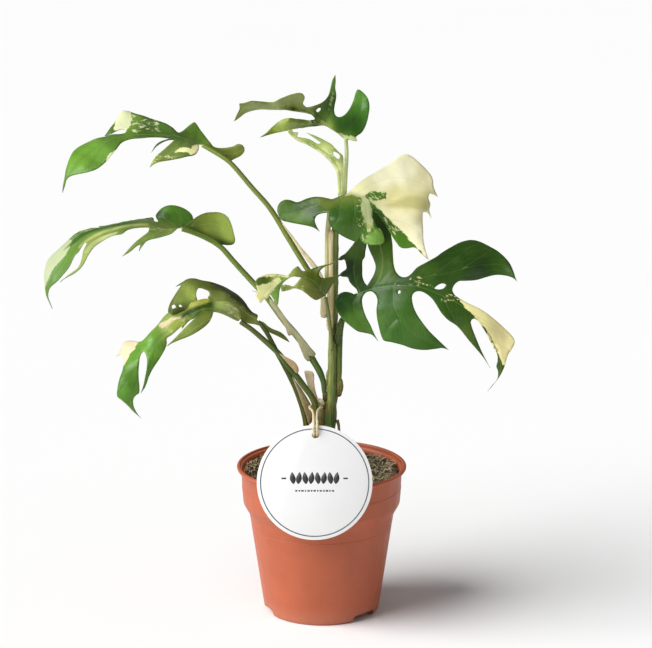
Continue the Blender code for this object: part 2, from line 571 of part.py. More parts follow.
            (-23.2, 244), (-19.5, 248.2), (-16.4, 250.5), (-13, 247), (-8, 247.9), (-3, 249.8),
            (3, 251.5), (7, 252.6), (11.2, 255.2), (7.5, 252), (3, 250.3), (0, 248.4),
            (-1.7, 245.7), (-1.2, 243), (1, 241.9), (5, 242.4), (9, 243.2), (14, 244.7),
            (11, 241.8), (8, 238), (5, 233),
        ],
        "holes": [
        ],
        "pins": [
            (2.6, 229.5, -16), (-4, 226, -22), (-15, 233.5, -26), (-28, 234.5, -24),
            (-20, 236, -25), (-15, 241.5, -21), (-5, 239.5, -19), (-19, 243.5, -22),
            (-29, 240, -24), (-30, 229, -28), (-31, 222.5, -29), (-36, 230, -31),
            (-42, 224.5, -34), (-46, 230, -32), (-44, 240, -27), (-38, 244, -20), (-28, 244, -18),
            (-16.5, 250.3, -12), (-8, 247.5, -11), (3, 251, -12), (11, 255, -13),
            (-1.5, 244.5, -15), (14, 244.6, -14), (6, 238, -15), (-49, 233, -33),
        ],
    },
    # The rear one of the lowest pair, with its under side showing
    "leaf_lower_back": {
        "outline": [
            (-45, 211.5), (-41, 210.2), (-37.8, 207.3), (-34, 205.2), (-29, 203), (-25.5, 199.9),
            (-22.6, 195.6), (-27, 198), (-32, 200.8), (-37, 203.4), (-41, 206.5), (-46, 208.5),
            (-52, 209.8), (-57, 212.5), (-61, 217), (-67, 222), (-73, 225), (-78, 226.4),
            (-79.2, 228), (-78, 230), (-78.6, 232), (-81, 233.4), (-85.6, 234.6), (-87, 232.3),
            (-87.4, 229), (-86.6, 226), (-88, 222), (-93, 218.4), (-99, 215.6), (-105, 213.6),
            (-107, 217), (-106.6, 221), (-103, 228), (-99.3, 234), (-97.4, 236.9), (-101.7, 236),
            (-96.6, 238.9), (-93.5, 240.7), (-89, 241.4), (-84, 240.2), (-78, 239), (-70, 236.8),
            (-62, 232.4), (-54, 225.3), (-48.5, 217.5), (-44.5, 215),
        ],
        "holes": [
            [
                (-97.2, 221.4), (-98.5, 222.9), (-99.8, 221.8), (-98.7, 220.9),
            ],
            [
                (-101.6, 221), (-102.6, 222.8), (-104.6, 221.8), (-104, 219.9),
            ],
        ],
        "pins": [
            (-45, 212, 6), (-30, 202, 11), (-23, 196, 15), (-52, 210.5, 7), (-60, 217, 3),
            (-74, 225, -2), (-78, 230, 0), (-87, 230, -5), (-94, 218.5, -6), (-105, 214, -9),
            (-106.5, 221, -6), (-98, 236, 6), (-101.7, 236, 14), (-89, 241, 11), (-78, 238.8, 19),
            (-62, 232, 25), (-50, 220, 19), (-98, 226, -8), (-66, 229, 8),
        ],
    },
    # The front one of the lowest pair, which hangs down past the rim
    "leaf_lower_front": {
        "outline": [
            (-58, 211), (-62, 212.5), (-66, 214.6), (-72, 217), (-75.3, 217.4), (-76.5, 214),
            (-79, 209.5), (-84, 205), (-92, 200.2), (-100, 197), (-104.5, 195), (-109, 192.4),
            (-102.5, 198.8), (-97.2, 204.5), (-92.3, 209.5), (-88, 213.3), (-92, 211.8),
            (-95.3, 208.5), (-97.6, 205.3), (-97.8, 207.3), (-100.5, 205), (-104.5, 201.3),
            (-108.4, 198.3), (-108.3, 195), (-110, 190), (-114, 183), (-118, 177), (-121, 171),
            (-124, 163), (-127.4, 158.2), (-125.6, 163), (-124, 170), (-122.6, 178), (-122.7, 185),
            (-124.6, 189), (-126.5, 187), (-128, 180), (-128.5, 170), (-128, 163), (-128.4, 158.6),
            (-130.5, 157), (-132.3, 154.5), (-132.5, 150), (-130, 144), (-126.4, 139.4),
            (-133, 145.5), (-137, 150), (-141, 153.8), (-143.8, 156.3), (-143.7, 161),
            (-141.7, 170), (-139.2, 177), (-139.3, 183), (-140.2, 187.3), (-143.8, 185.2),
            (-141, 190), (-139, 194.2), (-136.5, 196.3), (-131, 196.5), (-126.5, 196.2),
            (-120, 202.5), (-115, 207.7), (-112.5, 211), (-109, 215), (-106, 217.2),
            (-104.3, 215.2), (-98, 217), (-93.5, 219.7), (-91.5, 223.5), (-87, 225.6), (-80, 227),
            (-76, 226), (-72, 225.4), (-66, 225), (-61, 222.5), (-57.5, 218), (-56.5, 214),
        ],
        "holes": [
        ],
        "pins": [
            (-58, 212, -6), (-66, 215, -10), (-75, 217.5, -16), (-84, 205, -26), (-100, 197, -30),
            (-109, 192.5, -32), (-90, 212, -22), (-97, 204, -28), (-108.3, 197, -32),
            (-114, 183, -40), (-124, 163, -44), (-133, 170, -44), (-138, 179, -38),
            (-143, 160, -44), (-126.5, 140, -44), (-124.5, 188, -38), (-120, 200, -30),
            (-112, 208, -20), (-106, 217, -12), (-94, 218, -15), (-80, 226.5, -9),
            (-88, 225.5, -10), (-66, 225, -8), (-138, 195, -18), (-143.5, 185.5, -20),
            (-130, 196, -20),
        ],
    },
    # The youngest leaf, still half rolled round its stalk
    "new_leaf": {
        "outline": [
            (11.3, 301), (11.3, 306), (11, 311), (10, 317.5), (7, 322.8), (3.5, 326.5), (0, 329.6),
            (-5, 333), (-10, 336), (-14, 337.5), (-17, 339), (-20, 341.4), (-22.5, 344),
            (-23, 346.2), (-20.6, 346.6), (-19.3, 344.8), (-16, 344.5), (-16.6, 341.4),
            (-11, 340.4), (-7, 339), (-2.4, 336.4), (-0.3, 337.2), (-4, 340), (-10.4, 344.3),
            (-4, 342), (2, 339.2), (7, 336), (9.2, 333.6), (12, 330.7), (14.6, 328.4), (15.2, 324),
            (15.2, 317), (15, 309), (14.6, 301),
        ],
        "holes": [
            [
                (8.2, 331.3), (10.5, 330.5), (12.8, 328.4), (12, 325.8), (10, 327), (8.3, 328.6),
            ],
        ],
        "pins": [
            (11.3, 301, -1.6), (14.6, 301, -1.6), (13, 301, -3.5), (12.5, 318, -5), (10, 318, -2),
            (15.2, 317, -2), (0, 329.6, -3), (3, 333, -6), (7, 336, -3), (-14, 337.5, -7), (-10, 340, -8), (-22.5, 345, -12), (-10.4, 344.3, -9), (11, 328, -5), (14.6, 328.4, -2),
        ],
    },
}

# Stalks follow (x, depth, height) points, from the soil or the stem outwards, and taper
# through the radii beside them.
STALKS = {
    "main_stem": (
        [(5, 0, 98), (5.5, 0, 120), (6.2, 0, 140), (7.2, 0, 160), (7.8, 0, 185), (8.2, 0, 210),
         (8.7, 0, 228), (9.2, 0, 250), (9.5, 0, 275), (11, 0, 290), (14.2, 0.4, 299.4)],
        [3.9, 3.4, 3.2, 3.05, 2.7, 2.4, 2.3, 2.7]),
    "aerial_root": (
        [(11.0, -1.5, 139), (12.2, -2, 133), (12.5, -2, 115), (12.2, -2, 98)],
        [1.2, 0.9, 0.9, 0.8]),
    "petiole_top": (
        [(16.0, 1, 301), (16.6, 1, 315), (17.2, 1.5, 326), (17.2, 2.5, 333), (16.8, 3.6, 339.6)],
        [1.4, 1.3, 1.2]),
    "petiole_cream": (
        [(4.2, -0.8, 238), (4.2, -0.8, 258), (4.4, -1.2, 275), (5.4, -3.4, 287), (6.5, -5.0, 295.6)],
        [2.0, 1.9, 1.6, 1.5]),
    "petiole_upper_left": (
        [(1.6, -1, 214), (1.6, -1, 222), (0.6, -1, 231), (-4, -1, 239.5), (-10, -1, 248.5),
         (-22, -1, 268.5), (-35, -1, 290.5), (-48, -1.4, 306), (-60, -2.4, 320.5), (-66, -2.8, 326),
         (-74, -2.4, 331), (-82, -0.6, 335.6)],
        [2.1, 2.0, 1.9, 1.8, 1.6, 1.5, 1.2]),
    "petiole_left": (
        [(1.9, -0.5, 160), (1.2, -1, 167), (-1.2, -1.6, 174), (-5.6, -2, 182), (-11, -2, 191),
         (-17, -2, 200), (-26, -2, 211), (-33, -2, 221), (-40, -1.5, 230.5), (-48, -1, 239),
         (-60, -2, 252.5), (-70, -3.4, 264), (-80, -3.8, 270.3), (-90, -4, 274.5), (-96.8, -4, 276.6)],
        [1.6, 2.2, 2.4, 2.2, 2.0, 1.8, 1.6, 1.4]),
    "petiole_small": (
        [(7.2, -4.6, 190), (6.3, -6.8, 203), (5.4, -8.8, 211), (4.4, -12, 220), (3.0, -16.4, 227.6)],
        [1.2, 1.2, 1.1, 1.0]),
    "petiole_right": (
        [(12.4, -0.5, 172), (12.6, -1, 185), (12.8, -2, 195), (13.6, -3.5, 206),
         (15.2, -4.4, 213), (18, -5.2, 220), (22.2, -6.4, 227), (24.8, -7.4, 230)],
        [1.8, 1.8, 1.7, 1.5, 1.3]),
    "petiole_lower_back": (
        [(-9, 3, 98), (-10, 3, 120), (-11, 3, 137), (-14, 3, 150), (-19, 3, 164),
         (-25, 3, 176.5), (-30, 2.8, 186), (-34, 2.2, 194), (-38, 1.2, 202), (-42, 0.4, 208),
         (-44.2, 0.4, 210.6)],
        [2.2, 2.1, 1.9, 1.7, 1.5, 1.3]),
    "petiole_lower_front": (
        [(-3.6, -5, 98), (-3.6, -5, 120), (-3.9, -5, 140), (-4.6, -5, 150), (-7.6, -4.5, 157),
         (-13, -4.5, 164.5), (-19, -4.5, 173), (-25, -4.5, 181), (-31, -4.5, 188.5),
         (-40, -5, 197), (-49, -5.5, 205), (-56.6, -6, 210.4)],
        [2.2, 2.1, 2.1, 2.0, 1.8, 1.6]),
}

# The papery or green sheaths that wrap the stalks' feet: each an outline in (x, height) and
# the pins that give it its depth.
SHEATHS = {
    "sheath_upper_left": (
        [(-28, 282), (-22, 274.5), (-13, 262.5), (-3.5, 251), (0, 245), (3, 238), (3.2, 229),
         (3, 213.2), (-0.2, 213.7), (-0.3, 229), (-1.5, 238), (-4.5, 246), (-7, 250),
         (-12, 256.5), (-20, 269), (-27, 280)],
        [(-27, 281, -4.2), (-20, 270, -4.4), (-10, 257, -4.6), (-2, 242, -4.8), (2, 229, -5),
         (1, 214, -5), (3, 222, -4.6), (-0.2, 222, -4.6)],
        DRY),
    "sheath_left": (
        [(-36.5, 227.5), (-33, 225), (-29.5, 220), (-22.5, 210), (-14, 200), (-7, 191),
         (-4, 187), (-5.5, 185.5), (-8.5, 185.8), (-8, 183), (-9.5, 181.8), (-11.5, 183.5),
         (-14, 189), (-20, 201), (-23, 200.5), (-25.5, 207), (-31, 216), (-36, 223.5)],
        [(-36, 226, -4.9), (-30, 217, -5.4), (-22, 206, -5.4), (-14, 195, -5.6), (-8, 187, -5.6),
         (-23, 200.5, -4.4), (-9.5, 182, -5.2), (-4, 187, -4.8)],
        DRY),
    "sheath_stem": (
        [(5.8, 203), (4, 205), (3.6, 215), (3.9, 229), (4.9, 240), (5, 250), (5, 262),
         (5.6, 276), (7.4, 276), (7.7, 262), (8, 250), (8.3, 240), (8.4, 228), (8.2, 215),
         (7.5, 205)],
        [(6, 204, -4.2), (6, 215, -3.8), (6.5, 228, -3.8), (6.5, 240, -3.9), (6.5, 260, -4.1),
         (6.5, 275, -4.3), (4, 215, -3.4), (8, 215, -3.4)],
        DRY),
    "sheath_right": (
        [(12, 193), (8, 197), (9, 203), (11, 209), (13, 213.5), (15.5, 209), (14.8, 203),
         (13.2, 197)],
        [(12, 193, -4.8), (8, 197, -3.8), (10, 206, -5.6), (13, 213, -7.4), (15.5, 209, -7),
         (13.5, 199, -5.8)],
        SHEATH_GREEN),
    "sheath_lower": (
        [(-21, 171), (-18.5, 168), (-13, 160), (-9.5, 154), (-6.4, 147.5), (-6.6, 143),
         (-7.2, 137), (-9, 136), (-10.5, 141), (-13.5, 150), (-17, 160)],
        [(-20, 170, -0.4), (-14, 158, 0.2), (-9, 150, 1.0), (-7, 146, 1.5), (-8, 137, 1.5),
         (-10.5, 141, 0.6), (-13, 149, 0.2)],
        DRY),
    "sheath_lower_front": (
        [(-30, 188), (-24, 184.5), (-18, 180.5), (-16, 174.5), (-17.5, 173), (-21, 177),
         (-27, 184)],
        [(-29, 187.5, -8), (-24, 183, -7.6), (-18, 178, -7.4), (-16.5, 174, -7.4)],
        DRY),
    "dry_strip": (
        [(-12, 175), (-6, 174), (-5, 165), (-3, 156), (1, 149), (-1, 148), (-4, 151),
         (-7, 157), (-10, 165)],
        [(-11, 174, -0.2), (-6, 173, 0), (-6, 160, 0.6), (-2, 152, 0.9), (0, 149, 0.9)],
        DRY),
}


def make_plant():
    for name, (route, radii) in STALKS.items():
        stalk(name, route, radii, STALK_GREEN)
    for name, plan in BLADES.items():
        sheet(name, plan["outline"], plan["pins"], BLADE_THICKNESS, BLADE_CELL, GREEN, 0.35,
              plan["holes"])
    for name, (outline, pins, colour) in SHEATHS.items():
        sheet(name, outline, pins, SHEATH_THICKNESS, SHEATH_CELL, colour, 0.8)


def make_bud():
    """The swelling at a node of the stem, where an aerial root starts."""
    bpy.ops.mesh.primitive_uv_sphere_add(segments=16, ring_count=8, radius=MM)
    bud = bpy.context.object
    bud.name = "stem_bud"
    bud.data.name = "stem_bud"
    bud.scale = (2.5, 2.6, 7.2)
    bud.rotation_euler = (0.0, math.radians(4.0), 0.0)
    bud.location = sighted((13.3, 163.0), 0.0)
    finish(bud, (0.20, 0.19, 0.06), 0.6)
    smooth(bud)


clear_scene()
PARTS = new_collection("potted_mini_monstera")
CUTTERS = new_collection("cutters", hidden=True)
make_pot()
make_soil()
make_tag()
make_twine()
make_plant()
make_bud()
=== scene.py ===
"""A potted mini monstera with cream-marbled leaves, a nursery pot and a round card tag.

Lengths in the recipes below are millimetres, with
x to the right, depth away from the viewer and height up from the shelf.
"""

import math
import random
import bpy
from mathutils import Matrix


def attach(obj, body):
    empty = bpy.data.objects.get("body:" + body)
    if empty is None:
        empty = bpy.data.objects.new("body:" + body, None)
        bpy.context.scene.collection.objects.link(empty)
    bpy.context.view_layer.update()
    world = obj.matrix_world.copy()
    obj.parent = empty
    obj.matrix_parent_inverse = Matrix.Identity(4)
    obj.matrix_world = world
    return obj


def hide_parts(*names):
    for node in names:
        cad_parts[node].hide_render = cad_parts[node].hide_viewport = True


bl_info = {
    "name": "Potted Mini Monstera",
    "version": (1, 0, 0),
    "blender": (4, 5, 0),
    "location": "View3D > Sidebar > Monstera",
    "description": "Builds a variegated split-leaf climber in a nursery pot with a tag on twine",
    "category": "Add Mesh",
}

import bpy
import numpy as np
from bpy.props import FloatProperty, FloatVectorProperty, IntProperty, PointerProperty
from mathutils import Matrix, Vector, noise
from mathutils.geometry import delaunay_2d_cdt

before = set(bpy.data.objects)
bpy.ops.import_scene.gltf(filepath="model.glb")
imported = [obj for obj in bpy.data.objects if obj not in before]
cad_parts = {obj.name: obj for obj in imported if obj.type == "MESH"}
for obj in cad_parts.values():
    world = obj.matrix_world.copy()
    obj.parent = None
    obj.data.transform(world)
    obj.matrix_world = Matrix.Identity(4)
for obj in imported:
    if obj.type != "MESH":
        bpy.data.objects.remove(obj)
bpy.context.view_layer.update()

MM = 0.001

# The eye that the leaves were drafted from: blades and sheaths are drawn on the upright plane
# through the pot's axis and brought forward or back along its sight lines.
EYE = (3.0, -1839.0, 678.0)
PIN_SOFTNESS = 5.0

# Hanging tag
TAG_RADIUS = 39.7
TAG_THICKNESS = 0.5
TAG_CENTRE = (-4.7, -59.4, 111.6)
TAG_LEAN = 10.0
TAG_HOLE_X = 0.6
TAG_HOLE_HEIGHT = 33.2
TAG_HOLE_RADIUS = 2.6
PRINT_THICKNESS = 0.05
TWINE_GAP = 2.3


def linear(red, green, blue):
    """A colour as it looks on a screen, 0 to 255, as the scene's linear light."""
    return tuple((c / 255 / 12.92) if c <= 10 else ((c / 255 + 0.055) / 1.055) ** 2.4
                 for c in (red, green, blue))


def scaled(colour, factor):
    return tuple(c * factor for c in colour)


# ---------------------------------------------------------------- materials


class Signal:
    """A node's output that can be used in sums."""

    def __init__(self, finish, socket):
        self.finish = finish
        self.socket = socket

    def _sum(self, operation, left, right):
        return self.finish.node("ShaderNodeMath", {"operation": operation}, {0: left, 1: right})

    def __add__(self, other):
        return self._sum("ADD", self, other)

    def __radd__(self, other):
        return self._sum("ADD", other, self)

    def __sub__(self, other):
        return self._sum("SUBTRACT", self, other)

    def __rsub__(self, other):
        return self._sum("SUBTRACT", other, self)

    def __mul__(self, other):
        return self._sum("MULTIPLY", self, other)

    def __rmul__(self, other):
        return self._sum("MULTIPLY", other, self)


class Finish:
    """A material under construction: a Principled surface and the nodes that feed it."""

    def __init__(self, name, **fixed):
        self.material = bpy.data.materials.new(name)
        self.material.use_nodes = True
        self.nodes = self.material.node_tree.nodes
        self.links = self.material.node_tree.links
        self.surface = self.nodes["Principled BSDF"]
        for socket, value in fixed.items():
            name = socket.replace("_", " ").title().replace("Ior", "IOR")
            self.surface.inputs[name].default_value = value

    def node(self, kind, settings=None, sockets=None, output=0):
        made = self.nodes.new(kind)
        for key, value in (settings or {}).items():
            setattr(made, key, value)
        for key, value in (sockets or {}).items():
            if isinstance(value, Signal):
                self.links.new(value.socket, made.inputs[key])
            else:
                made.inputs[key].default_value = value
        return Signal(self, made.outputs[output])

    def place(self):
        return self.node("ShaderNodeTexCoord", output="Object")

    def attribute(self, name, output="Fac"):
        return self.node("ShaderNodeAttribute", {"attribute_name": name}, output=output)

    def stretched(self, vector, x, y, z):
        return self.node("ShaderNodeMapping", sockets={"Vector": vector, "Scale": (x, y, z)})

    def noise(self, vector, scale, detail=3.0, roughness=0.55):
        return self.node("ShaderNodeTexNoise", sockets={
            "Vector": vector, "Scale": scale, "Detail": detail, "Roughness": roughness})

    def cells(self, vector, scale):
        return self.node("ShaderNodeTexVoronoi", sockets={"Vector": vector, "Scale": scale})

    def part(self, vector, axis):
        return self.node("ShaderNodeSeparateXYZ", sockets={0: vector}, output=axis)

    def between(self, value, low, high, out_low=0.0, out_high=1.0):
        """Eases from out_low to out_high as the value goes from low to high."""
        return self.node("ShaderNodeMapRange", {"interpolation_type": "SMOOTHSTEP"}, {
            "Value": value, "From Min": low, "From Max": high, "To Min": out_low,
            "To Max": out_high})

    def maths(self, operation, value):
        return self.node("ShaderNodeMath", {"operation": operation}, {0: value})

    def near(self, value, width):
        """1 where the value is 0, easing to 0 at that width on either side."""
        return self.between(self.maths("ABSOLUTE", value), 0.0, width, 1.0, 0.0)

    def mix(self, share, first, second, blend="MIX"):
        """Colours are mixed here: a tuple or the signal of a colour."""
        first, second = ((*colour, 1.0) if isinstance(colour, tuple) else colour
                         for colour in (first, second))
        return self.node("ShaderNodeMix", {"data_type": "RGBA", "blend_type": blend},
                         {0: share, 6: first, 7: second}, output=2)

    def bump(self, height, depth_mm, strength=1.0):
        return self.node("ShaderNodeBump", sockets={
            "Height": height, "Distance": depth_mm * MM, "Strength": strength})

    def feed(self, **signals):
        for socket, signal in signals.items():
            self.links.new(signal.socket, self.surface.inputs[socket.replace("_", " ")])
        return self.material


def leaf_finish(name):
    """Leaf skin: glossy green above, matt and paler below, with cream patches and veins."""
    make = Finish(name, roughness=0.4, specular_ior_level=0.32)
    place = make.place()
    tone = make.attribute("tone", "Color")
    pale = make.attribute("pale", "Color")
    grain = make.attribute("grain", "Vector")
    turned = make.between(make.attribute("turned"), -0.8, 0.8)
    # Cream patches keep their drawn outline, roughened and feathered by two sizes of noise
    ragged = make.noise(place, 190.0, 4.0, 0.65) - 0.5
    brushed = make.noise(make.stretched(grain, 0.12, 0.5, 0.5), 1.4, 3.0, 0.6) - 0.5
    cream = make.attribute("cream") + ragged * 3.4 + brushed * 3.0
    cream_mask = make.between(cream, -0.35, 0.35)
    # Flecks of cream inside the green, thickest where the leaf is marbled
    fleck = make.noise(make.stretched(grain, 0.35, 0.9, 0.9), 0.55, 5.0, 0.72)
    fleck_mask = make.between(fleck + make.attribute("fleck") * 0.17, 0.70, 0.735)
    mottle = make.noise(place, 60.0, 4.0, 0.6)
    fine = make.noise(place, 520.0, 2.0, 0.5)
    deep = make.mix(make.between(mottle, 0.3, 0.7), (0.82, 0.84, 0.80), (1.14, 1.12, 1.10))
    green = make.mix(1.0, tone, deep, "MULTIPLY")
    green = make.mix(fleck_mask * 0.75, green, pale)
    # Fine side veins run out and forwards from the midrib
    along, across = make.part(grain, "X"), make.maths("ABSOLUTE", make.part(grain, "Y"))
    rows = make.maths("SINE", (along - across * 0.85 + (mottle - 0.5) * 9.0) * 1.5)
    green = make.mix(make.between(rows, 0.3, 1.0, 0.0, 0.05) * mottle, green,
                     linear(140, 170, 90))
    vein = make.near(make.attribute("vein"), 1.0)
    # Beside the veins the upper side is darkened, painted shade in the creases they lie in, and
    # the under side is lightened there.
    shade = make.near(make.attribute("vein"), 3.4)
    green = make.mix(shade * 0.20, green,
                     make.mix(turned, linear(22, 46, 10), linear(150, 160, 92)))
    green = make.mix(vein * 0.42, green,
                     make.mix(turned, linear(112, 150, 78), linear(160, 170, 104)))
    cream_tone = make.mix(make.between(mottle, 0.35, 0.75, 0.0, 0.35), pale,
                          make.mix(0.5, pale, linear(190, 196, 120)))
    cream_tone = make.mix(vein * 0.30, cream_tone, linear(178, 186, 118))
    skin = make.mix(cream_mask, green, cream_tone)
    sheen = make.between(turned + fine * 0.16, 0.0, 1.1, 0.36, 0.64)
    ribs = make.between(rows, -1.0, 1.0) * 0.16 + fine * 0.08 + mottle * 0.6
    relief = ribs - shade * 0.30 + vein * turned * 0.5
    return make.feed(Base_Color=skin, Roughness=sheen + cream_mask * 0.08,
                     Normal=make.bump(relief, 0.28, 0.6))


def stalk_finish(name):
    """Smooth stalk: streaked along its length, painted by the tones on its mesh."""
    make = Finish(name, roughness=0.45, specular_ior_level=0.25)
    tone = make.attribute("tone", "Color")
    grain = make.attribute("grain", "Vector")
    streak = make.noise(make.stretched(grain, 0.9, 0.9, 0.035), 1.1, 3.0, 0.6)
    blotch = make.noise(make.stretched(grain, 0.4, 0.4, 0.12), 0.9, 3.0, 0.6)
    colour = make.mix(make.between(streak, 0.36, 0.64),
                      make.mix(1.0, tone, (0.72, 0.78, 0.62), "MULTIPLY"),
                      make.mix(0.12, tone, linear(200, 206, 130)))
    colour = make.mix(make.between(blotch, 0.64, 0.80, 0.0, 0.35), colour, linear(104, 88, 44))
    return make.feed(Base_Color=colour, Roughness=make.between(blotch, 0.2, 0.8, 0.36, 0.58),
                     Normal=make.bump(streak + blotch * 0.5, 0.25, 0.5))


def sheath_finish(name):
    """Dry sheath: papery, with long fibres in darker and paler streaks, and scorched spots."""
    make = Finish(name, roughness=0.75)
    tone = make.attribute("tone", "Color")
    grain = make.attribute("grain", "Vector")
    fibre = make.noise(make.stretched(grain, 0.06, 1.6, 1.0), 1.5, 4.0, 0.7)
    blotch = make.noise(make.stretched(grain, 0.15, 0.6, 1.0), 0.8, 4.0, 0.65)
    colour = make.mix(make.between(fibre, 0.32, 0.68),
                      make.mix(1.0, tone, (0.80, 0.75, 0.68), "MULTIPLY"),
                      make.mix(0.35, tone, linear(244, 232, 196)))
    colour = make.mix(make.between(blotch, 0.60, 0.76, 0.0, 0.45), colour, linear(128, 92, 52))
    return make.feed(Base_Color=colour, Roughness=make.between(blotch, 0.2, 0.8, 0.62, 0.85),
                     Normal=make.bump(fibre + blotch * 0.6, 0.35, 0.8))


# ---------------------------------------------------------------- the plant's drawings

# Each leaf as it is drafted: its outline, its holes and the pins that bend it. Then, in the same
# places, its midrib, the ribs of its lobes, spots of its green and of its cream with the colour
# there, and the outlines of what is cream, what is green again inside the cream, what shows its
# under side, what is flecked, and what is painted in one colour, with how soft its edge is.
# Besides each leaf's own colour, its spots are partly painted light and shade: some places are
# lighter or darker for how the light falls on them.
LEAVES = {}

# The topmost leaf, thrown out to the left, its last lobe standing up as a spike
LEAVES["leaf_top"] = dict(
    outline=[(15, 340.6), (19, 339.4), (24.5, 338.7), (23.6, 341), (28, 345), (30.6, 350),
        (32.2, 356), (32.9, 363), (31.8, 368), (29, 371.6), (25, 374.1), (23.6, 372), (22, 367),
        (19.5, 361.5), (16.5, 357.4), (12.7, 355.1), (10, 355.8), (8.8, 359), (9, 363), (10, 369),
        (9.4, 375), (9.8, 380), (9.6, 384.3), (8, 381), (6.5, 376), (4.5, 370), (1, 365.7),
        (-4, 363.2), (-8, 362.2), (-10.5, 362.2), (-12.6, 364.6), (-11.4, 369), (-12.8, 371.3),
        (-16, 371.9), (-21, 370.6), (-28, 368), (-34, 365.4), (-42, 365.7), (-48, 366.5),
        (-52, 365.2), (-54, 364.6), (-56.2, 364.2), (-56, 361.3), (-58, 357), (-60.2, 352.3),
        (-56, 355), (-52, 358), (-45, 360.2), (-35, 360.4), (-25, 360.1), (-18, 359.2),
        (-10, 357.7), (-6, 356.4), (-4.4, 353.9), (-8, 352.8), (-13, 353.6), (-17, 353.9),
        (-22, 354.5), (-28, 352.8), (-34, 348), (-38, 344.2), (-42.2, 341.4), (-36, 343),
        (-30, 344.4), (-22, 346.3), (-13, 347.8), (-5, 348.8), (2, 349.2), (8, 345.8),
        (12, 343.3)],
    holes=[[(-3.7, 359.5), (-2.2, 361.3), (-0.6, 361.6), (-0.6, 360.2), (-2.6, 358.6)]],
    pins=[(15, 341, -2), (8, 347, -2), (28, 345, 6), (32.8, 363, 12), (25, 374, 24), (20, 362, 13),
        (12.5, 355, 5), (9.5, 384, 25), (7, 368, 13), (-2, 357, 5), (-10, 361.5, 5),
        (-12, 370.5, -19), (-20, 370.5, -19), (-30, 367, -12), (-20, 360, 22), (-35, 360.5, 25),
        (-48, 366, -9), (-45, 360.3, 22), (-60, 352.5, 5), (-8, 352.5, -2), (-22, 354.3, -26),
        (-30, 345, 5), (-42, 341.5, -16), (-13, 348, 12), (2, 349, 1), (24, 338.8, -12),
        (23, 341.5, -4)],
    midrib=[(15, 341), (11, 344.5), (6, 348.3), (1, 351.5), (-4, 356), (-9, 360), (-16, 362),
        (-26, 362.9), (-36, 363), (-46, 362.7), (-53, 361), (-57, 357.5), (-60.2, 352.3)],
    ribs=[[(13, 343), (21, 350), (27, 360), (28, 371)], [(3, 350.5), (6, 358), (7, 368),
        (9.3, 382)], [(4, 349.6), (-10, 350.8), (-25, 350), (-41, 342)], [(-9, 360), (-14, 365),
        (-15, 370.5)], [(-24, 362.8), (-33, 365)]],
    tones=[(22, 350, 60, 106, 46), (29, 360, 72, 124, 52), (27, 371, 88, 138, 60),
        (13, 352, 60, 108, 46), (6, 364, 70, 108, 52), (9, 380, 140, 184, 112),
        (-2, 355, 84, 112, 54), (-12, 368, 156, 166, 102), (-25, 366, 160, 168, 114),
        (-45, 364, 150, 162, 100), (-56, 358, 140, 156, 92), (-20, 361, 156, 172, 98),
        (-12, 350, 128, 149, 64), (-30, 347, 160, 180, 90), (4, 346, 152, 180, 84),
        (-4, 351.5, 60, 88, 34)],
    pale=[(0, 350, 176, 190, 128)],
    cream=[[(2, 349.2), (8, 346), (14, 343.5), (24.5, 341), (24.5, 338.5), (15, 340.2)],
        [(-50, 360.4), (-25, 361.2), (-5, 357.6), (-12, 357), (-30, 359.4)], [(5.4, 360),
        (7.3, 366), (9, 373), (8, 374), (6.3, 369), (4.8, 363)]],
    turned=[[(-62, 350), (-62, 368), (-10, 375), (-4, 364), (-3.5, 357), (-10, 356), (-20, 357.5)],
        [(-44, 339), (-20, 356), (-5, 355.5), (8, 349), (8, 343), (-10, 346)]],
    flecks=[[(-15, 349), (-13, 354), (2, 355), (3, 350)]],
)

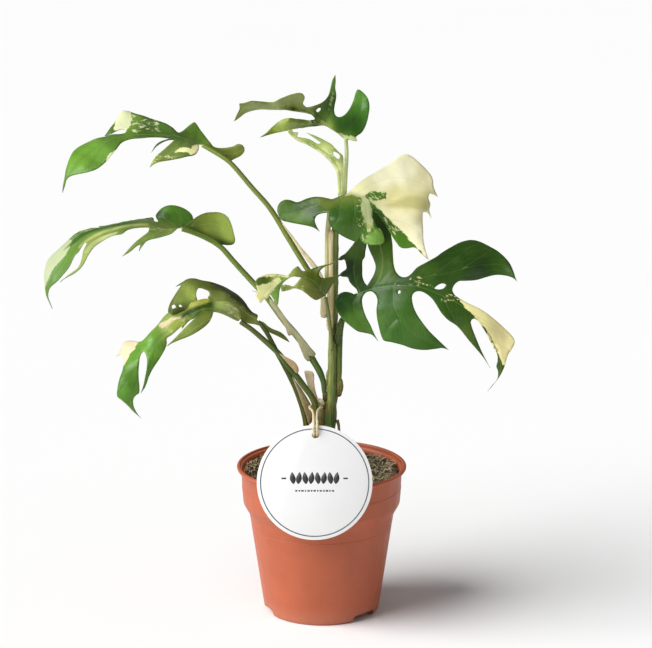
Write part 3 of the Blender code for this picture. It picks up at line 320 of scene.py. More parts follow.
# The palest leaf, arched over towards the viewer so that its lobes hang
LEAVES["leaf_cream"] = dict(
    outline=[(7, 298), (9.5, 298.8), (14, 300.8), (17, 301.3), (20, 304), (24, 307.3), (31, 313),
        (40, 318.2), (48, 323.5), (54, 328), (58, 329.4), (62, 328), (68, 322.7), (74, 316.5),
        (76.5, 312), (77.5, 306), (80.6, 299.4), (77.5, 301.2), (74.6, 301.6), (73.6, 299),
        (75, 294), (74.3, 290.3), (76.2, 284.6), (73.2, 288.3), (70.2, 288.5), (70, 283),
        (70.2, 275), (70.8, 268), (72, 262), (74.8, 254.6), (69, 259.7), (65, 263.6), (58, 263),
        (55, 263.6), (52, 267), (48, 273.3), (43.5, 281), (40, 286), (37, 289.3), (35.3, 288),
        (36.5, 283.5), (38.5, 278.5), (41, 276.5), (43, 272), (43.5, 268), (42, 266.2),
        (38, 265.4), (34, 265.5), (30, 266.6), (27.3, 268.3), (26.6, 270.5), (25.9, 270),
        (24.4, 267.7), (20, 269), (14, 272.3), (9, 276), (6, 279), (4.9, 284), (5.3, 288.6),
        (3, 288.3), (0, 287.8), (-3, 286.5), (-4.7, 283.5), (-3.6, 279), (-1.3, 275), (-5, 277.6),
        (-9, 278.8), (-15, 280), (-22, 281.4), (-28, 283.3), (-30, 287), (-30.6, 291), (-29, 295),
        (-25, 297.3), (-21, 297), (-17, 295.7), (-10, 298.1), (-5, 299.3), (0, 299), (4, 298.4)],
    pins=[(7, 298, -5), (20, 300.5, -9), (29, 299.5, -13), (15, 288, -24), (15, 273, -28),
        (5, 284, -25), (25, 268, -27), (31, 285, -25), (36, 266, -31), (27, 276, -27),
        (36, 289, -20), (40, 290, -18), (55, 275.5, -23), (74.5, 255, -31), (55, 264, -27),
        (70, 275, -20), (69, 288, -12), (40, 301, -8), (24, 307, -2), (45, 321.5, 9),
        (58, 329, 15), (74, 316, 14), (80.5, 299.5, 5), (76, 285, -4), (60, 306, 0), (50, 297, -9),
        (0, 298.5, -5), (-10, 297.5, -3), (-25, 296.8, -1), (-30, 289, -5), (-28, 284, -8),
        (-15, 281, -12), (-1.5, 275.3, -17), (-4, 284, -15), (2, 288.3, -17)],
    midrib=[(7, 298), (14, 300), (22, 300.3), (29, 299.3), (34, 296.3), (40, 290.7), (47, 283.5),
        (55, 275.5), (63, 267), (69, 260.5), (74.8, 254.6)],
    ribs=[[(22, 300.3), (36, 309), (50, 313), (64, 311), (74, 306), (80, 299.8)], [(34, 296.3),
        (48, 297), (60, 294), (70, 290), (75.8, 285)], [(47, 283.5), (58, 281), (66, 276),
        (70, 270)], [(7, 298), (-3, 293.5), (-15, 289.5), (-28, 287)], [(14, 300), (13, 292),
        (11, 283), (7, 278)], [(22, 300.3), (23, 290), (22, 280), (24, 269)], [(29, 299.3),
        (31, 288), (31, 276), (28, 268.5)], [(34, 296.3), (36, 285), (40, 276), (42, 267)]],
    tones=[(3, 296, 108, 124, 66), (15, 299, 84, 110, 50), (24, 299, 110, 125, 66),
        (-15, 285, 88, 122, 52), (-27, 288, 84, 118, 48), (-15, 293, 60, 90, 32),
        (-4, 290, 52, 80, 28), (10, 288, 55, 93, 42), (14, 276, 70, 110, 47),
        (24, 272, 77, 116, 50), (23, 290, 58, 96, 40), (35, 272, 91, 131, 46),
        (40, 280, 72, 118, 42), (52, 273, 92, 140, 52), (62, 265, 96, 140, 58),
        (37, 300, 88, 134, 52), (48, 300, 80, 110, 50)],
    # The duller cream spots at (60, 296), (50, 300) and (73, 297) are painted shade in the fold
    # between the two lobes.
    pale=[(55, 316, 255, 252, 222), (40, 312, 255, 252, 222), (70, 310, 246, 238, 196),
        (60, 296, 232, 226, 170), (50, 300, 234, 226, 168), (73, 297, 222, 216, 156),
        (33, 305, 236, 232, 190), (58, 282, 246, 240, 204), (68, 272, 250, 244, 212),
        (46, 287, 240, 234, 192), (31, 290, 186, 198, 144), (70, 288, 240, 232, 186)],
    # The first patch, khaki, is painted shade in that fold, under the edge of the front lobe.
    paint=[([(44, 293), (52, 297), (62, 300.5), (72, 298), (74.5, 293), (73, 289.6), (62, 291.5),
        (52, 291.6)], (206, 198, 138), 3), ([(28, 298), (32, 297), (34, 293), (35, 284), (36, 277),
        (31, 278), (28, 288)], (186, 198, 144), 1.5), ([(34.5, 291), (37, 286), (41, 279),
        (44, 275), (47, 278), (41, 288), (37, 291)], (48, 80, 28), 2), ([(-1, 297), (8, 299),
        (20, 302), (28, 300), (16, 297), (6, 292), (2, 293)], (112, 124, 68), 4), ([(29, 267),
        (33, 273), (38, 277), (44, 274), (46, 267), (42, 264), (35, 264)], (122, 164, 84), 2)],
    cream=[[(16, 300.3), (22, 300.3), (29, 299.3), (34, 296.3), (40, 290.7), (47, 283.5),
        (55, 275.5), (63, 267), (69, 260.5), (76, 252), (80, 275), (84, 300), (76, 325), (58, 333),
        (40, 322), (18, 306)], [(28, 298), (32, 297), (34, 293), (34.5, 288), (35, 284), (36, 279),
        (33, 279.5), (31, 282), (29, 286), (27.5, 291)]],
    green=[[(29, 299.2), (34, 303), (41, 303.3), (44.5, 302.5), (45, 298), (41, 297.4), (37, 297),
        (33, 297.5)]],
    flecks=[[(25, 300), (35, 299), (36, 284), (33, 267), (26, 266), (24, 285)], [(40, 288),
        (50, 284), (56, 276), (50, 271), (42, 280)], [(30, 305), (46, 305), (46, 296), (30, 296)],
        [(27, 263), (29, 274), (37, 280), (46, 276), (48, 264), (38, 261)]],
)

# The biggest leaf: two lobes point down inside, and a long one curls down at the end
LEAVES["leaf_right"] = dict(
    outline=[(25, 230.5), (24.5, 233.5), (22, 236), (19.5, 239), (18, 242.3), (14.5, 242.8),
        (12, 243.8), (14, 246), (17.2, 248.6), (17.2, 250.5), (15.8, 255), (13, 254.4),
        (11.3, 255), (13.5, 257.5), (16, 259), (20, 263.5), (24, 269), (28, 274), (31, 273),
        (31.3, 266), (30.3, 260), (30, 256.5), (28.8, 255), (28.4, 248), (28.5, 243), (30, 238.6),
        (31.8, 236.7), (34, 240), (36.5, 245), (37.6, 250), (36, 255.5), (33.5, 261), (31.9, 266),
        (32, 274), (33.5, 283), (36, 289.5), (40, 286.5), (44.3, 281.5), (47.3, 275.5), (49, 268),
        (49.6, 258), (50.5, 250), (52, 246), (54.5, 243.3), (57.5, 242.4), (60, 243), (62.5, 245),
        (66, 249), (72, 252.5), (79, 256.5), (84, 260.3), (90, 264), (96, 267.3), (101, 268.6),
        (106, 268.6), (111, 267.3), (117, 264.3), (122, 261.3), (127, 257), (131, 252),
        (133.5, 246.5), (135, 242), (136.3, 239), (134.5, 241), (132, 242.5), (127, 243.8),
        (121, 244), (114, 242.3), (107, 240.3), (100, 239.8), (95.5, 239.5), (92.5, 237),
        (91, 233.3), (92.5, 230), (96, 227.3), (103, 223.5), (110, 220), (116, 216), (122, 211),
        (128, 205.5), (133.3, 200.3), (135.2, 196.5), (134, 192), (131, 187), (129.5, 182),
        (128, 177), (125, 171), (121.5, 166), (116.6, 159.8), (119.8, 164.5), (123.2, 168.8),
        (123.8, 174.5), (122.6, 178.3), (123.4, 182), (123, 187), (120.3, 192.5), (117, 199),
        (113, 206), (109, 211.4), (106.5, 212.8), (104.4, 211), (105.3, 206), (108, 199),
        (111.3, 191), (114.5, 184), (118.2, 177), (113.5, 184.5), (108, 191.3), (102.5, 197.7),
        (98.5, 203), (94.5, 207.5), (88, 212), (83.5, 217), (80.5, 222), (77, 227), (73, 230.5),
        (69, 232.3), (65.5, 232), (63.3, 229.5), (63.5, 224), (66, 217), (70.5, 210), (76, 203),
        (82, 197), (89.2, 190), (85, 191.4), (80, 190.8), (72, 190), (64, 191), (57, 193.5),
        (49, 195.7), (43.3, 197), (41.8, 200), (40.3, 206), (39, 212), (38.5, 219), (39, 226),
        (37.6, 230), (34.5, 232.3), (31, 231.5), (28.6, 228), (28.6, 222), (31, 214), (34.5, 207),
        (37, 201), (39.2, 196.3), (35.5, 200.8), (30, 202.5), (25.5, 203.5), (20, 207.5),
        (15, 212), (11.5, 217), (9.6, 222), (9.8, 227), (12, 230.3), (16, 232), (20, 231.5),
        (23, 230.3)],
    holes=[[(78.5, 234.4), (81, 236.8), (84.5, 238), (86.6, 237), (85, 234.6), (81.5, 233.7)],
        [(53.2, 230.4), (53.4, 232.6), (54.8, 233.2), (54.9, 231.2)]],
    pins=[(25, 230.5, -10), (45, 236, -16), (65, 236, -21), (88, 227.5, -22), (103, 218, -24),
        (115, 205, -27), (124, 185, -35), (117, 160, -40), (39, 196.5, -22), (10, 224, -11),
        (20, 207, -16), (42, 198, -25), (89, 190, -30), (60, 215, -27), (118, 177, -32),
        (98, 205, -26), (11.5, 255, -7), (12, 244, -8), (28, 273, -3), (36, 289, 3), (49, 262, -6),
        (33, 262, -3), (66, 249, -14), (101, 268.5, 2), (122, 261, 2), (136, 239, -12),
        (105, 250, -12), (110, 241, -9), (133, 198, -20), (128, 205, -17)],
    midrib=[(25, 230.5), (35, 234), (45, 236), (55, 236.6), (65, 236), (73, 234), (80, 231),
        (88, 227.5), (96, 223.3), (103, 218), (109, 212.5), (115, 205), (119.5, 197.5),
        (122.5, 190.5), (125, 182), (125.3, 174), (122, 167), (116.6, 159.8)],
    ribs=[[(27, 231.4), (23.5, 240), (22.5, 250), (25, 262), (29, 272)], [(35, 234), (41, 243),
        (42.5, 254), (40.5, 266), (36.5, 287)], [(60, 236.5), (73, 243), (85, 244.5), (97, 248),
        (107, 250.5), (120, 251.5), (130, 246.5), (136, 239.5)], [(76, 243.3), (89, 253),
        (103, 264)], [(97, 248), (110, 257), (118, 262)], [(27, 231.4), (22, 224), (25, 213),
        (33, 202.5), (39, 197)], [(50, 236.4), (50, 224), (55, 211), (66, 200), (88, 190.4)],
        [(54, 214), (47, 206), (43, 198)], [(85, 228.9), (89, 219), (97, 205), (107, 191),
        (117.8, 177.6)], [(103, 218), (113, 212), (124, 206.5)], [(109, 212.5), (120, 205),
        (131, 200)], [(119.5, 197.5), (127, 193), (133.5, 190)]],
    # The lighter spot at (66, 207) is a painted highlight along the fold of the lower lobe.
    tones=[(52, 262, 86, 122, 50), (17, 250, 37, 53, 14), (24, 262, 66, 94, 34),
        (27, 240, 46, 72, 28), (42, 276, 40, 70, 22), (45, 250, 88, 120, 58),
        (75, 249, 74, 110, 50), (92, 258, 52, 88, 38), (108, 262, 56, 86, 36),
        (112, 247, 46, 76, 30), (130, 248, 57, 88, 31), (60, 239, 62, 96, 46),
        (84, 240, 60, 92, 44), (14, 225, 40, 76, 28), (24, 209, 82, 119, 51),
        (34, 204, 78, 114, 50), (45, 226, 62, 104, 44), (55, 220, 64, 102, 46),
        (66, 207, 82, 122, 64), (50, 203, 65, 107, 45), (80, 193, 60, 100, 40),
        (74, 222, 60, 100, 42), (95, 214, 57, 88, 31), (104, 203, 74, 98, 46),
        (114, 188, 56, 84, 36), (124, 176, 70, 92, 44)],
    pale=[(120, 205, 250, 238, 178)],
    cream=[[(95, 227.5), (103, 224.5), (112, 221), (124, 213), (136, 202), (138, 196), (134, 188),
        (131, 178), (127, 178), (124, 187), (121, 195), (117, 202), (112, 208.5), (107, 214),
        (101, 220)]],
    turned=[[(30, 235.5), (34, 238.5), (37.5, 246), (37.5, 252), (35.5, 258), (38.8, 260.5),
        (39, 266), (40.5, 267), (45, 265), (45.2, 258), (46, 252), (47.5, 249), (45.5, 244.5),
        (41, 240), (36, 236.5)]],
    flecks=[[(60, 236.5), (62, 245), (69, 244), (70, 237)], [(42, 238.2), (78, 238), (78, 235.6),
        (42, 235.6)], [(82, 224), (84, 230), (99, 230), (98, 224)], [(108, 206), (114, 212),
        (124, 196), (124, 182), (119, 188)]],
)

# A long leaf that reaches up and to the left
LEAVES["leaf_upper_left"] = dict(
    outline=[(-84, 336.4), (-80, 334.8), (-76, 331.8), (-70, 328), (-64, 324.2), (-60, 326),
        (-55.3, 328.5), (-52.8, 332), (-54, 335.5), (-57, 336.6), (-61, 334.8), (-67, 333.8),
        (-74, 334.3), (-76.5, 337.5), (-80, 342), (-83.5, 346.5), (-87, 351.6), (-92, 348.2),
        (-95.5, 345.4), (-98, 344.2), (-103, 348.6), (-110, 352), (-118, 354.6), (-126, 357),
        (-132, 358.9), (-136, 359.3), (-139, 356.5), (-142, 351.3), (-146, 346), (-149, 342.2),
        (-145, 343.3), (-141, 345.4), (-137, 346.5), (-133.8, 346.2), (-134.5, 344.4),
        (-138, 343.4), (-143, 343), (-147, 342), (-155, 340), (-163, 336.6), (-170, 332),
        (-173.5, 326), (-175.7, 320), (-177, 313.5), (-178.3, 308), (-179, 302.4), (-177.2, 307),
        (-175.8, 311.8), (-173, 314), (-163, 316.4), (-155, 319), (-149, 323.4), (-145, 328),
        (-141, 333.2), (-138, 337), (-133, 339.4), (-125, 340.5), (-118, 341.2), (-110, 341.2),
        (-104, 340.7), (-110, 338.5), (-114, 335.6), (-117, 330.6), (-113.2, 335), (-109.5, 337.5),
        (-105.5, 339.4), (-101, 339.4), (-105, 335.8), (-110, 331.3), (-115, 326.7),
        (-118.2, 320.4), (-113, 323.4), (-105, 325), (-98, 326.4), (-92, 328), (-86.5, 329.3),
        (-84.5, 332.3)],
    pins=[(-84, 337, 4), (-64, 324.5, 3), (-53, 332, -7), (-56, 336, -8), (-70, 333.5, 3),
        (-100, 342, -1), (-125, 343, -5), (-146, 339, -10), (-164, 327, -18), (-176, 313, -25),
        (-179, 302.5, -26), (-163, 336.5, -1), (-173, 328, -11), (-163, 316.5, -31),
        (-149, 323.5, -28), (-138, 337, -16), (-103, 348.5, 10), (-118, 354.5, 22),
        (-134, 359, 26), (-142, 351, 14), (-149, 342, 2), (-134, 347, 4), (-118, 348, 3),
        (-87, 351.5, 22), (-92, 347, 14), (-79, 341, 12), (-92, 334, -14), (-105, 325, -28),
        (-118, 320.5, -34), (-105, 336, -16), (-86, 329.5, -18), (-116.5, 331.5, -26)],
    midrib=[(-84, 337), (-92, 339.7), (-100, 342), (-110, 343), (-125, 343), (-137, 341.8),
        (-146, 339), (-155, 333.8), (-164, 327), (-171, 320.5), (-176, 313), (-178.3, 307),
        (-179, 302.4)],
    ribs=[[(-96, 341), (-112, 348), (-128, 351.5), (-139, 349.5), (-148.5, 342.6)], [(-84, 337),
        (-72, 331), (-60, 330), (-53.5, 333)], [(-86, 337.8), (-86, 345), (-87, 351)],
        [(-92, 339.7), (-100, 333), (-110, 327), (-118, 320.6)], [(-104, 342.5), (-110, 338),
        (-116.7, 331)], [(-147, 338.5), (-158, 337), (-169, 330.5)], [(-150, 336.5), (-159, 322),
        (-168, 317)]],
    tones=[(-86, 344, 98, 136, 58), (-96, 342, 80, 114, 50), (-112, 349, 83, 122, 52),
        (-130, 353, 116, 156, 68), (-120, 344, 66, 90, 34), (-145, 341, 84, 120, 50),
        (-158, 333, 114, 163, 71), (-170, 322, 110, 158, 59), (-178, 306, 96, 140, 54),
        (-155, 323, 104, 148, 60), (-105, 330, 140, 161, 99), (-114, 324, 156, 176, 104),
        (-95, 334, 120, 142, 80), (-70, 330, 102, 118, 49), (-57, 331, 118, 130, 66),
        (-110, 337, 92, 118, 58)],
    # The cream spot at (-88, 332) is painted lighter than the leaf's other cream, to make up for
    # the shade that falls on it.
    pale=[(-136, 353, 220, 224, 186), (-88, 332, 255, 252, 190)],
    cream=[[(-142, 351.5), (-139, 358), (-136, 361), (-131, 360), (-130, 354), (-131, 349),
        (-133.5, 346), (-138, 346), (-142, 346)], [(-92, 331.5), (-88, 335.5), (-84, 336.7),
        (-82.5, 334), (-85.5, 330), (-91, 328.5)], [(-101, 330.5), (-97, 334), (-90, 334),
        (-90, 330.5)], [(-148.5, 325.5), (-145, 329.5), (-142, 332.5), (-142.5, 329),
        (-147, 324)]],
    turned=[[(-82, 336), (-76, 331), (-64, 323), (-52, 330), (-54, 337), (-74, 335)], [(-84, 329),
        (-92, 327), (-119, 319), (-110, 332), (-98, 335), (-90, 333)]],
    flecks=[[(-131, 343), (-131, 358), (-112, 356), (-110, 345)], [(-118, 321), (-118, 331),
        (-104, 331), (-100, 326)]],
)

# Drawn flat, stalk to tip, since it twists too much to draw where it stands
LEAVES["leaf_left"] = dict(
    outline=[(0, 0.8), (-3, 4), (-8, 7), (-13, 12), (-14, 19), (-9, 26), (-1, 30), (7, 29.5),
        (12.5, 25), (14.5, 17), (14.5, 10), (16, 6), (17.5, 9), (17, 16), (17.5, 23), (21, 27.5),
        (27, 27), (31.5, 22), (33.5, 14), (35, 7.5), (37, 10), (37.5, 17), (40, 24), (45, 27.5),
        (49.5, 26), (51.5, 21), (52, 13), (53.5, 8.5), (55, 10), (57.5, 15), (62, 17.5),
        (74, 18.5), (88, 17), (98, 13), (106, 8), (112, 3.5), (120, 1.3), (127, 0), (120, -1.2),
        (112, -3), (104, -7), (94, -10.5), (84, -12), (74, -12), (68, -9.5), (64, -6), (62, -10),
        (66, -15.5), (72, -21), (79, -25), (84, -28), (92, -34), (82, -31), (74, -28.5), (66, -25),
        (58, -20), (50, -14.5), (45, -12.5), (41, -12.5), (36, -8.5), (28, -6.3), (21, -5),
        (22, -10), (27, -17), (34, -24), (44, -32), (34, -29), (27, -25.5), (24, -29),
        (19.5, -34.5), (22, -28), (22.5, -23.3), (14, -19), (6, -14), (2, -8), (0, -4.5), (-3, -8),
        (-4, -14), (-6, -20), (-12, -25), (-20, -26), (-28, -22), (-32, -15), (-31, -8), (-25, -3),
        (-14, -1.5), (-4, -1.2)],
    pins=[(0, 0, -99, 0.5, 277.8), (21, 0, -120, 0, 281.6), (36, 0, -135, -1, 280),
        (51, 0, -150, -3, 276.6), (62, 0, -161, -4, 272.5), (74, 0, -170.5, -6, 265),
        (88, 0, -179, -9, 254.3), (100, 0, -186, -11, 246), (110, 0, -190.5, -13, 237),
        (118, 0, -191.5, -15, 229), (127, 0, -188, -17, 219.5), (74, 18.5, -178, 8, 266.5),
        (88, 17, -188.5, 4, 256.5), (98, 13, -192, -2, 249), (62, 17, -168, 12, 275),
        (84, -12, -171.5, -17, 258), (94, -10.5, -176, -18, 249), (104, -7, -183.5, -17, 240),
        (64, -6, -164.5, -9, 267), (92, -34, -182, -30, 239), (79, -25, -169.3, -26, 249),
        (66, -15.5, -165, -19, 261), (66, -25, -163, -25, 256), (58, -20, -157.5, -21, 264),
        (45, -12.5, -143, -14, 272.3), (21, -5, -119.5, -7, 277.7), (44, -32, -138.5, -26, 257.3),
        (22.5, -23.3, -121.5, -22, 268), (19.5, -34.5, -126.8, -24, 261),
        (6, -14, -104, -13, 273.5), (-1, 30, -105, 16, 293.6), (-13, 16, -90, 12, 285),
        (13, 24, -114.5, 15, 286.5), (15, 9, -113.5, 7, 282), (21, 27, -120, 24, 284.6),
        (31.5, 22, -130, 20, 282.8), (46, 27, -148, 20, 279.5), (52, 14, -153, 10, 278.2),
        (-14, -1.5, -85, 2, 272), (-25, -3, -73, 1.5, 266.3), (-31, -9, -62, -3, 266),
        (-30, -18, -61.5, -6, 273), (-24, -24, -65, 0, 285), (-16, -26, -73, 4, 288.7),
        (-7, -20, -84, 3, 286.5), (-3.5, -11, -92, -2, 281)],
    midrib=[(0, 0), (21, 0), (51, 0), (88, 0), (127, 0)],
    ribs=[[(1, 0), (-3, 14), (-2, 29)], [(2, 0), (8, 12), (9, 27)], [(18, 0), (24, 12), (24, 27)],
        [(38, 0), (44, 13), (45, 26)], [(60, 0), (78, 10), (97, 12.5)], [(9, -0.3), (14, -9),
        (24, -20), (43, -31.5)], [(18, -16), (20, -33)], [(44, 0), (54, -12), (68, -22),
        (91, -33.6)], [(68, 0), (80, -7), (94, -9.6)], [(-1, -0.5), (-10, -10), (-20, -16),
        (-29, -14)], [(-6, -6), (-8, -18), (-11, -24)]],
    tones=[(-8, 14, 96, 142, 70), (0, 26, 94, 146, 62), (10, 20, 56, 90, 34),
        (25, 16, 108, 140, 74), (24, 26, 85, 114, 55), (45, 18, 96, 132, 62),
        (44, 26, 85, 114, 55), (66, 12, 100, 132, 66), (80, -6, 111, 148, 75),
        (98, -5, 99, 138, 71), (120, 0, 111, 148, 75), (60, -15, 150, 164, 100),
        (80, -26, 150, 168, 104), (14, -14, 138, 162, 96), (30, -24, 122, 146, 85),
        (-14, -12, 140, 158, 76), (-26, -16, 160, 178, 92), (-16, -2.5, 50, 66, 22),
        (-28, -6, 60, 80, 28), (12, -4, 140, 156, 96)],
    pale=[(90, 10, 176, 187, 152), (46, -11, 186, 196, 138), (63, -18, 152, 166, 102)],
    cream=[[(70, 21), (88, 19), (98, 15), (108, 9), (115, 4), (110, 1.5), (100, 2.5), (92, 3),
        (84, 2.5), (77, 5), (71, 11)], [(43, -9), (52, -10.5), (62, -15), (66, -20), (62, -23.5),
        (54, -19), (46, -13.5)]],
    turned=[[(2, -1), (-10, -0.5), (-34, -4), (-36, -24), (-18, -30), (-2, -20), (3, -8)],
        [(2, -3), (20, -3.5), (22, -12), (46, -33), (20, -38), (2, -20)], [(40, -11), (62, -9.5),
        (94, -36), (70, -34)]],
    paint=[([(22, 3), (34, 4), (46, 5), (58, 7), (70, 10), (80, 9), (72, 4), (58, 2), (40, 1)],
        (58, 98, 42), 2.5), ([(20, -1), (40, -1.5), (58, -3), (72, -6), (70, -10), (56, -7),
        (38, -5), (22, -4)], (190, 198, 150), 2.5)],
    flecks=[[(55, 4), (56, 17), (74, 19), (86, 12), (74, 5)], [(76, 5), (90, 12), (108, 6),
        (98, 2)], [(50, -12), (60, -10), (74, -22), (66, -28)], [(-3, -2), (20, -2.5), (20, -9),
        (2, -9)]],
)

# A small leaf held close to the stem
LEAVES["leaf_small"] = dict(
    outline=[(2.6, 229.2), (1, 228.5), (-1, 227.2), (-4, 226), (-7, 227.6), (-11, 231),
        (-15, 233.5), (-19, 234.4), (-23, 233.1), (-27.6, 232.4), (-28.2, 234.5), (-27.4, 236.8),
        (-24, 237), (-20, 236), (-17.5, 238), (-15.4, 240.8), (-14, 242.3), (-16.5, 242.9),
        (-20.5, 242.7), (-23.5, 241.2), (-27, 237.8), (-29.1, 233.5), (-29.6, 228.5),
        (-30.6, 222.3), (-31.6, 222.6), (-33, 226), (-36, 230.4), (-37, 227.6), (-40, 226.6),
        (-42.4, 224), (-45, 227.4), (-46.2, 229.9), (-44.6, 231), (-48.8, 232.8), (-44.4, 232.6),
        (-45.2, 236), (-45.6, 240.3), (-43, 242.6), (-38, 244.4), (-30, 244.4), (-23.2, 244),
        (-19.5, 248.2), (-16.4, 250.5), (-13, 247), (-8, 247.9), (-3, 249.8), (3, 251.5),
        (7, 252.6), (11.2, 255.2), (7.5, 252), (3, 250.3), (0, 248.4), (-1.7, 245.7), (-1.2, 243),
        (1, 241.9), (5, 242.4), (9, 243.2), (14, 244.7), (11, 241.8), (8, 238), (5, 233)],
    pins=[(2.6, 229.5, -16), (-4, 226, -22), (-15, 233.5, -26), (-28, 234.5, -24), (-20, 236, -25),
        (-15, 241.5, -21), (-5, 239.5, -19), (-19, 243.5, -22), (-29, 240, -24), (-30, 229, -28),
        (-31, 222.5, -29), (-36, 230, -31), (-42, 224.5, -34), (-46, 230, -32), (-44, 240, -27),
        (-38, 244, -20), (-28, 244, -18), (-16.5, 250.3, -12), (-8, 247.5, -11), (3, 251, -12),
        (11, 255, -13), (-1.5, 244.5, -15), (14, 244.6, -14), (6, 238, -15), (-49, 233, -33)],
    midrib=[(2.6, 229.5), (0, 232.8), (-3, 237), (-6, 240), (-9.5, 241.7), (-14, 242.9),
        (-19, 243.7), (-24, 243), (-29, 240.5), (-34, 236.5), (-39, 231.5), (-42.4, 224)],
    ribs=[[(0, 232.8), (-8, 233), (-18, 235), (-28, 234.5)], [(-1, 234.5), (1, 241), (3, 247),
        (10, 254.3)], [(-9.5, 241.7), (-14, 246), (-16.5, 250)], [(2.6, 229.5), (5, 236),
        (13, 244)], [(-29, 240.5), (-30.3, 232), (-31, 224)], [(-34, 236.5), (-40, 238.5),
        (-45, 239.5)]],
    tones=[(0, 238, 86, 100, 38), (-6, 244, 81, 94, 36), (6, 249, 88, 106, 44),
        (8, 240, 84, 100, 40), (-5, 230, 126, 128, 70), (-16, 235, 156, 162, 102),
        (-26, 235, 128, 138, 80), (-38, 241, 84, 104, 47), (-32, 243.6, 185, 187, 138),
        (-31, 229, 156, 204, 118), (-28, 238, 146, 190, 110), (-18, 240, 176, 184, 118)],
    pale=[(-40, 234, 220, 220, 160)],
    cream=[[(-46, 236.7), (-41, 237), (-37, 237.6), (-33, 240), (-30, 242), (-28, 240.5),
        (-31, 236.5), (-33, 233), (-36, 231), (-37, 226), (-42, 222), (-50, 229), (-50, 234)],
        [(-47, 242.3), (-23, 242.6), (-23, 245), (-40, 245.5)]],
    turned=[[(-20, 236), (-14, 242), (-20, 243.5), (-28, 240), (-29, 237)]],
    flecks=[[(-46, 236), (-30, 244), (-28, 240), (-36, 228)], [(-12, 229), (-28, 231), (-28, 237),
        (-12, 237)]],
)

# The rear one of the lowest pair, with its under side showing
LEAVES["leaf_lower_back"] = dict(
    outline=[(-45, 211.5), (-41, 210.2), (-37.8, 207.3), (-34, 205.2), (-29, 203), (-25.5, 199.9),
        (-22.6, 195.6), (-27, 198), (-32, 200.8), (-37, 203.4), (-41, 206.5), (-46, 208.5),
        (-52, 209.8), (-57, 212.5), (-61, 217), (-67, 222), (-73, 225), (-78, 226.4), (-79.2, 228),
        (-78, 230), (-78.6, 232), (-81, 233.4), (-85.6, 234.6), (-87, 232.3), (-87.4, 229),
        (-86.6, 226), (-88, 222), (-93, 218.4), (-99, 215.6), (-105, 213.6), (-107, 217),
        (-106.6, 221), (-103, 228), (-99.3, 234), (-97.4, 236.9), (-101.7, 236), (-96.6, 238.9),
        (-93.5, 240.7), (-89, 241.4), (-84, 240.2), (-78, 239), (-70, 236.8), (-62, 232.4),
        (-54, 225.3), (-48.5, 217.5), (-44.5, 215)],
    holes=[[(-97.2, 221.4), (-98.5, 222.9), (-99.8, 221.8), (-98.7, 220.9)], [(-101.6, 221),
        (-102.6, 222.8), (-104.6, 221.8), (-104, 219.9)]],
    pins=[(-45, 212, 6), (-30, 202, 11), (-23, 196, 15), (-52, 210.5, 7), (-60, 217, 3),
        (-74, 225, -2), (-78, 230, 0), (-87, 230, -5), (-94, 218.5, -6), (-105, 214, -9),
        (-106.5, 221, -6), (-98, 236, 6), (-101.7, 236, 14), (-89, 241, 11), (-78, 238.8, 19),
        (-62, 232, 25), (-50, 220, 19), (-98, 226, -8), (-66, 229, 8)],
    midrib=[(-45, 212), (-52, 216), (-60, 221.5), (-68, 226), (-76, 229.5), (-84, 236), (-90, 238),
        (-96, 234), (-101, 227), (-104, 220), (-105, 213.8)],
    ribs=[[(-45, 212), (-35, 205), (-23.5, 196.5)], [(-60, 221.5), (-66, 230), (-74, 236)],
        [(-90, 238), (-92, 229), (-92, 220)], [(-80, 233), (-84, 230), (-86, 227)]],
    tones=[(-98, 228, 144, 162, 90), (-90, 232, 200, 218, 128), (-88, 239, 150, 168, 92),
        (-100, 217, 70, 84, 34), (-103, 222, 120, 138, 72), (-80, 236, 142, 158, 82),
        (-74, 237.6, 88, 100, 40), (-62, 231, 78, 92, 38), (-50, 219, 92, 104, 46),
        (-70, 226, 186, 202, 124), (-56, 217, 160, 166, 96), (-40, 209, 148, 158, 86),
        (-27, 200, 138, 150, 76)],
    pale=[(-60, 225, 196, 202, 144)],
    paint=[([(-82, 234), (-74, 231.5), (-66, 227), (-58, 220), (-60, 217), (-68, 222.5),
        (-76, 227.5), (-83, 230)], (168, 180, 112), 3), ([(-79, 239.5), (-70, 237), (-62, 232.5),
        (-54, 226), (-46, 218), (-49, 216), (-57, 223), (-65, 230), (-74, 235)], (60, 74, 30), 2)],
    turned=[[(-108, 211), (-109, 240), (-84, 243), (-48, 221), (-22, 200), (-20, 192),
        (-60, 208)]],
    flecks=[[(-78, 239), (-62, 233), (-49, 218), (-55, 219), (-76, 235)], [(-86, 226), (-79, 233),
        (-62, 224), (-76, 224)]],
)

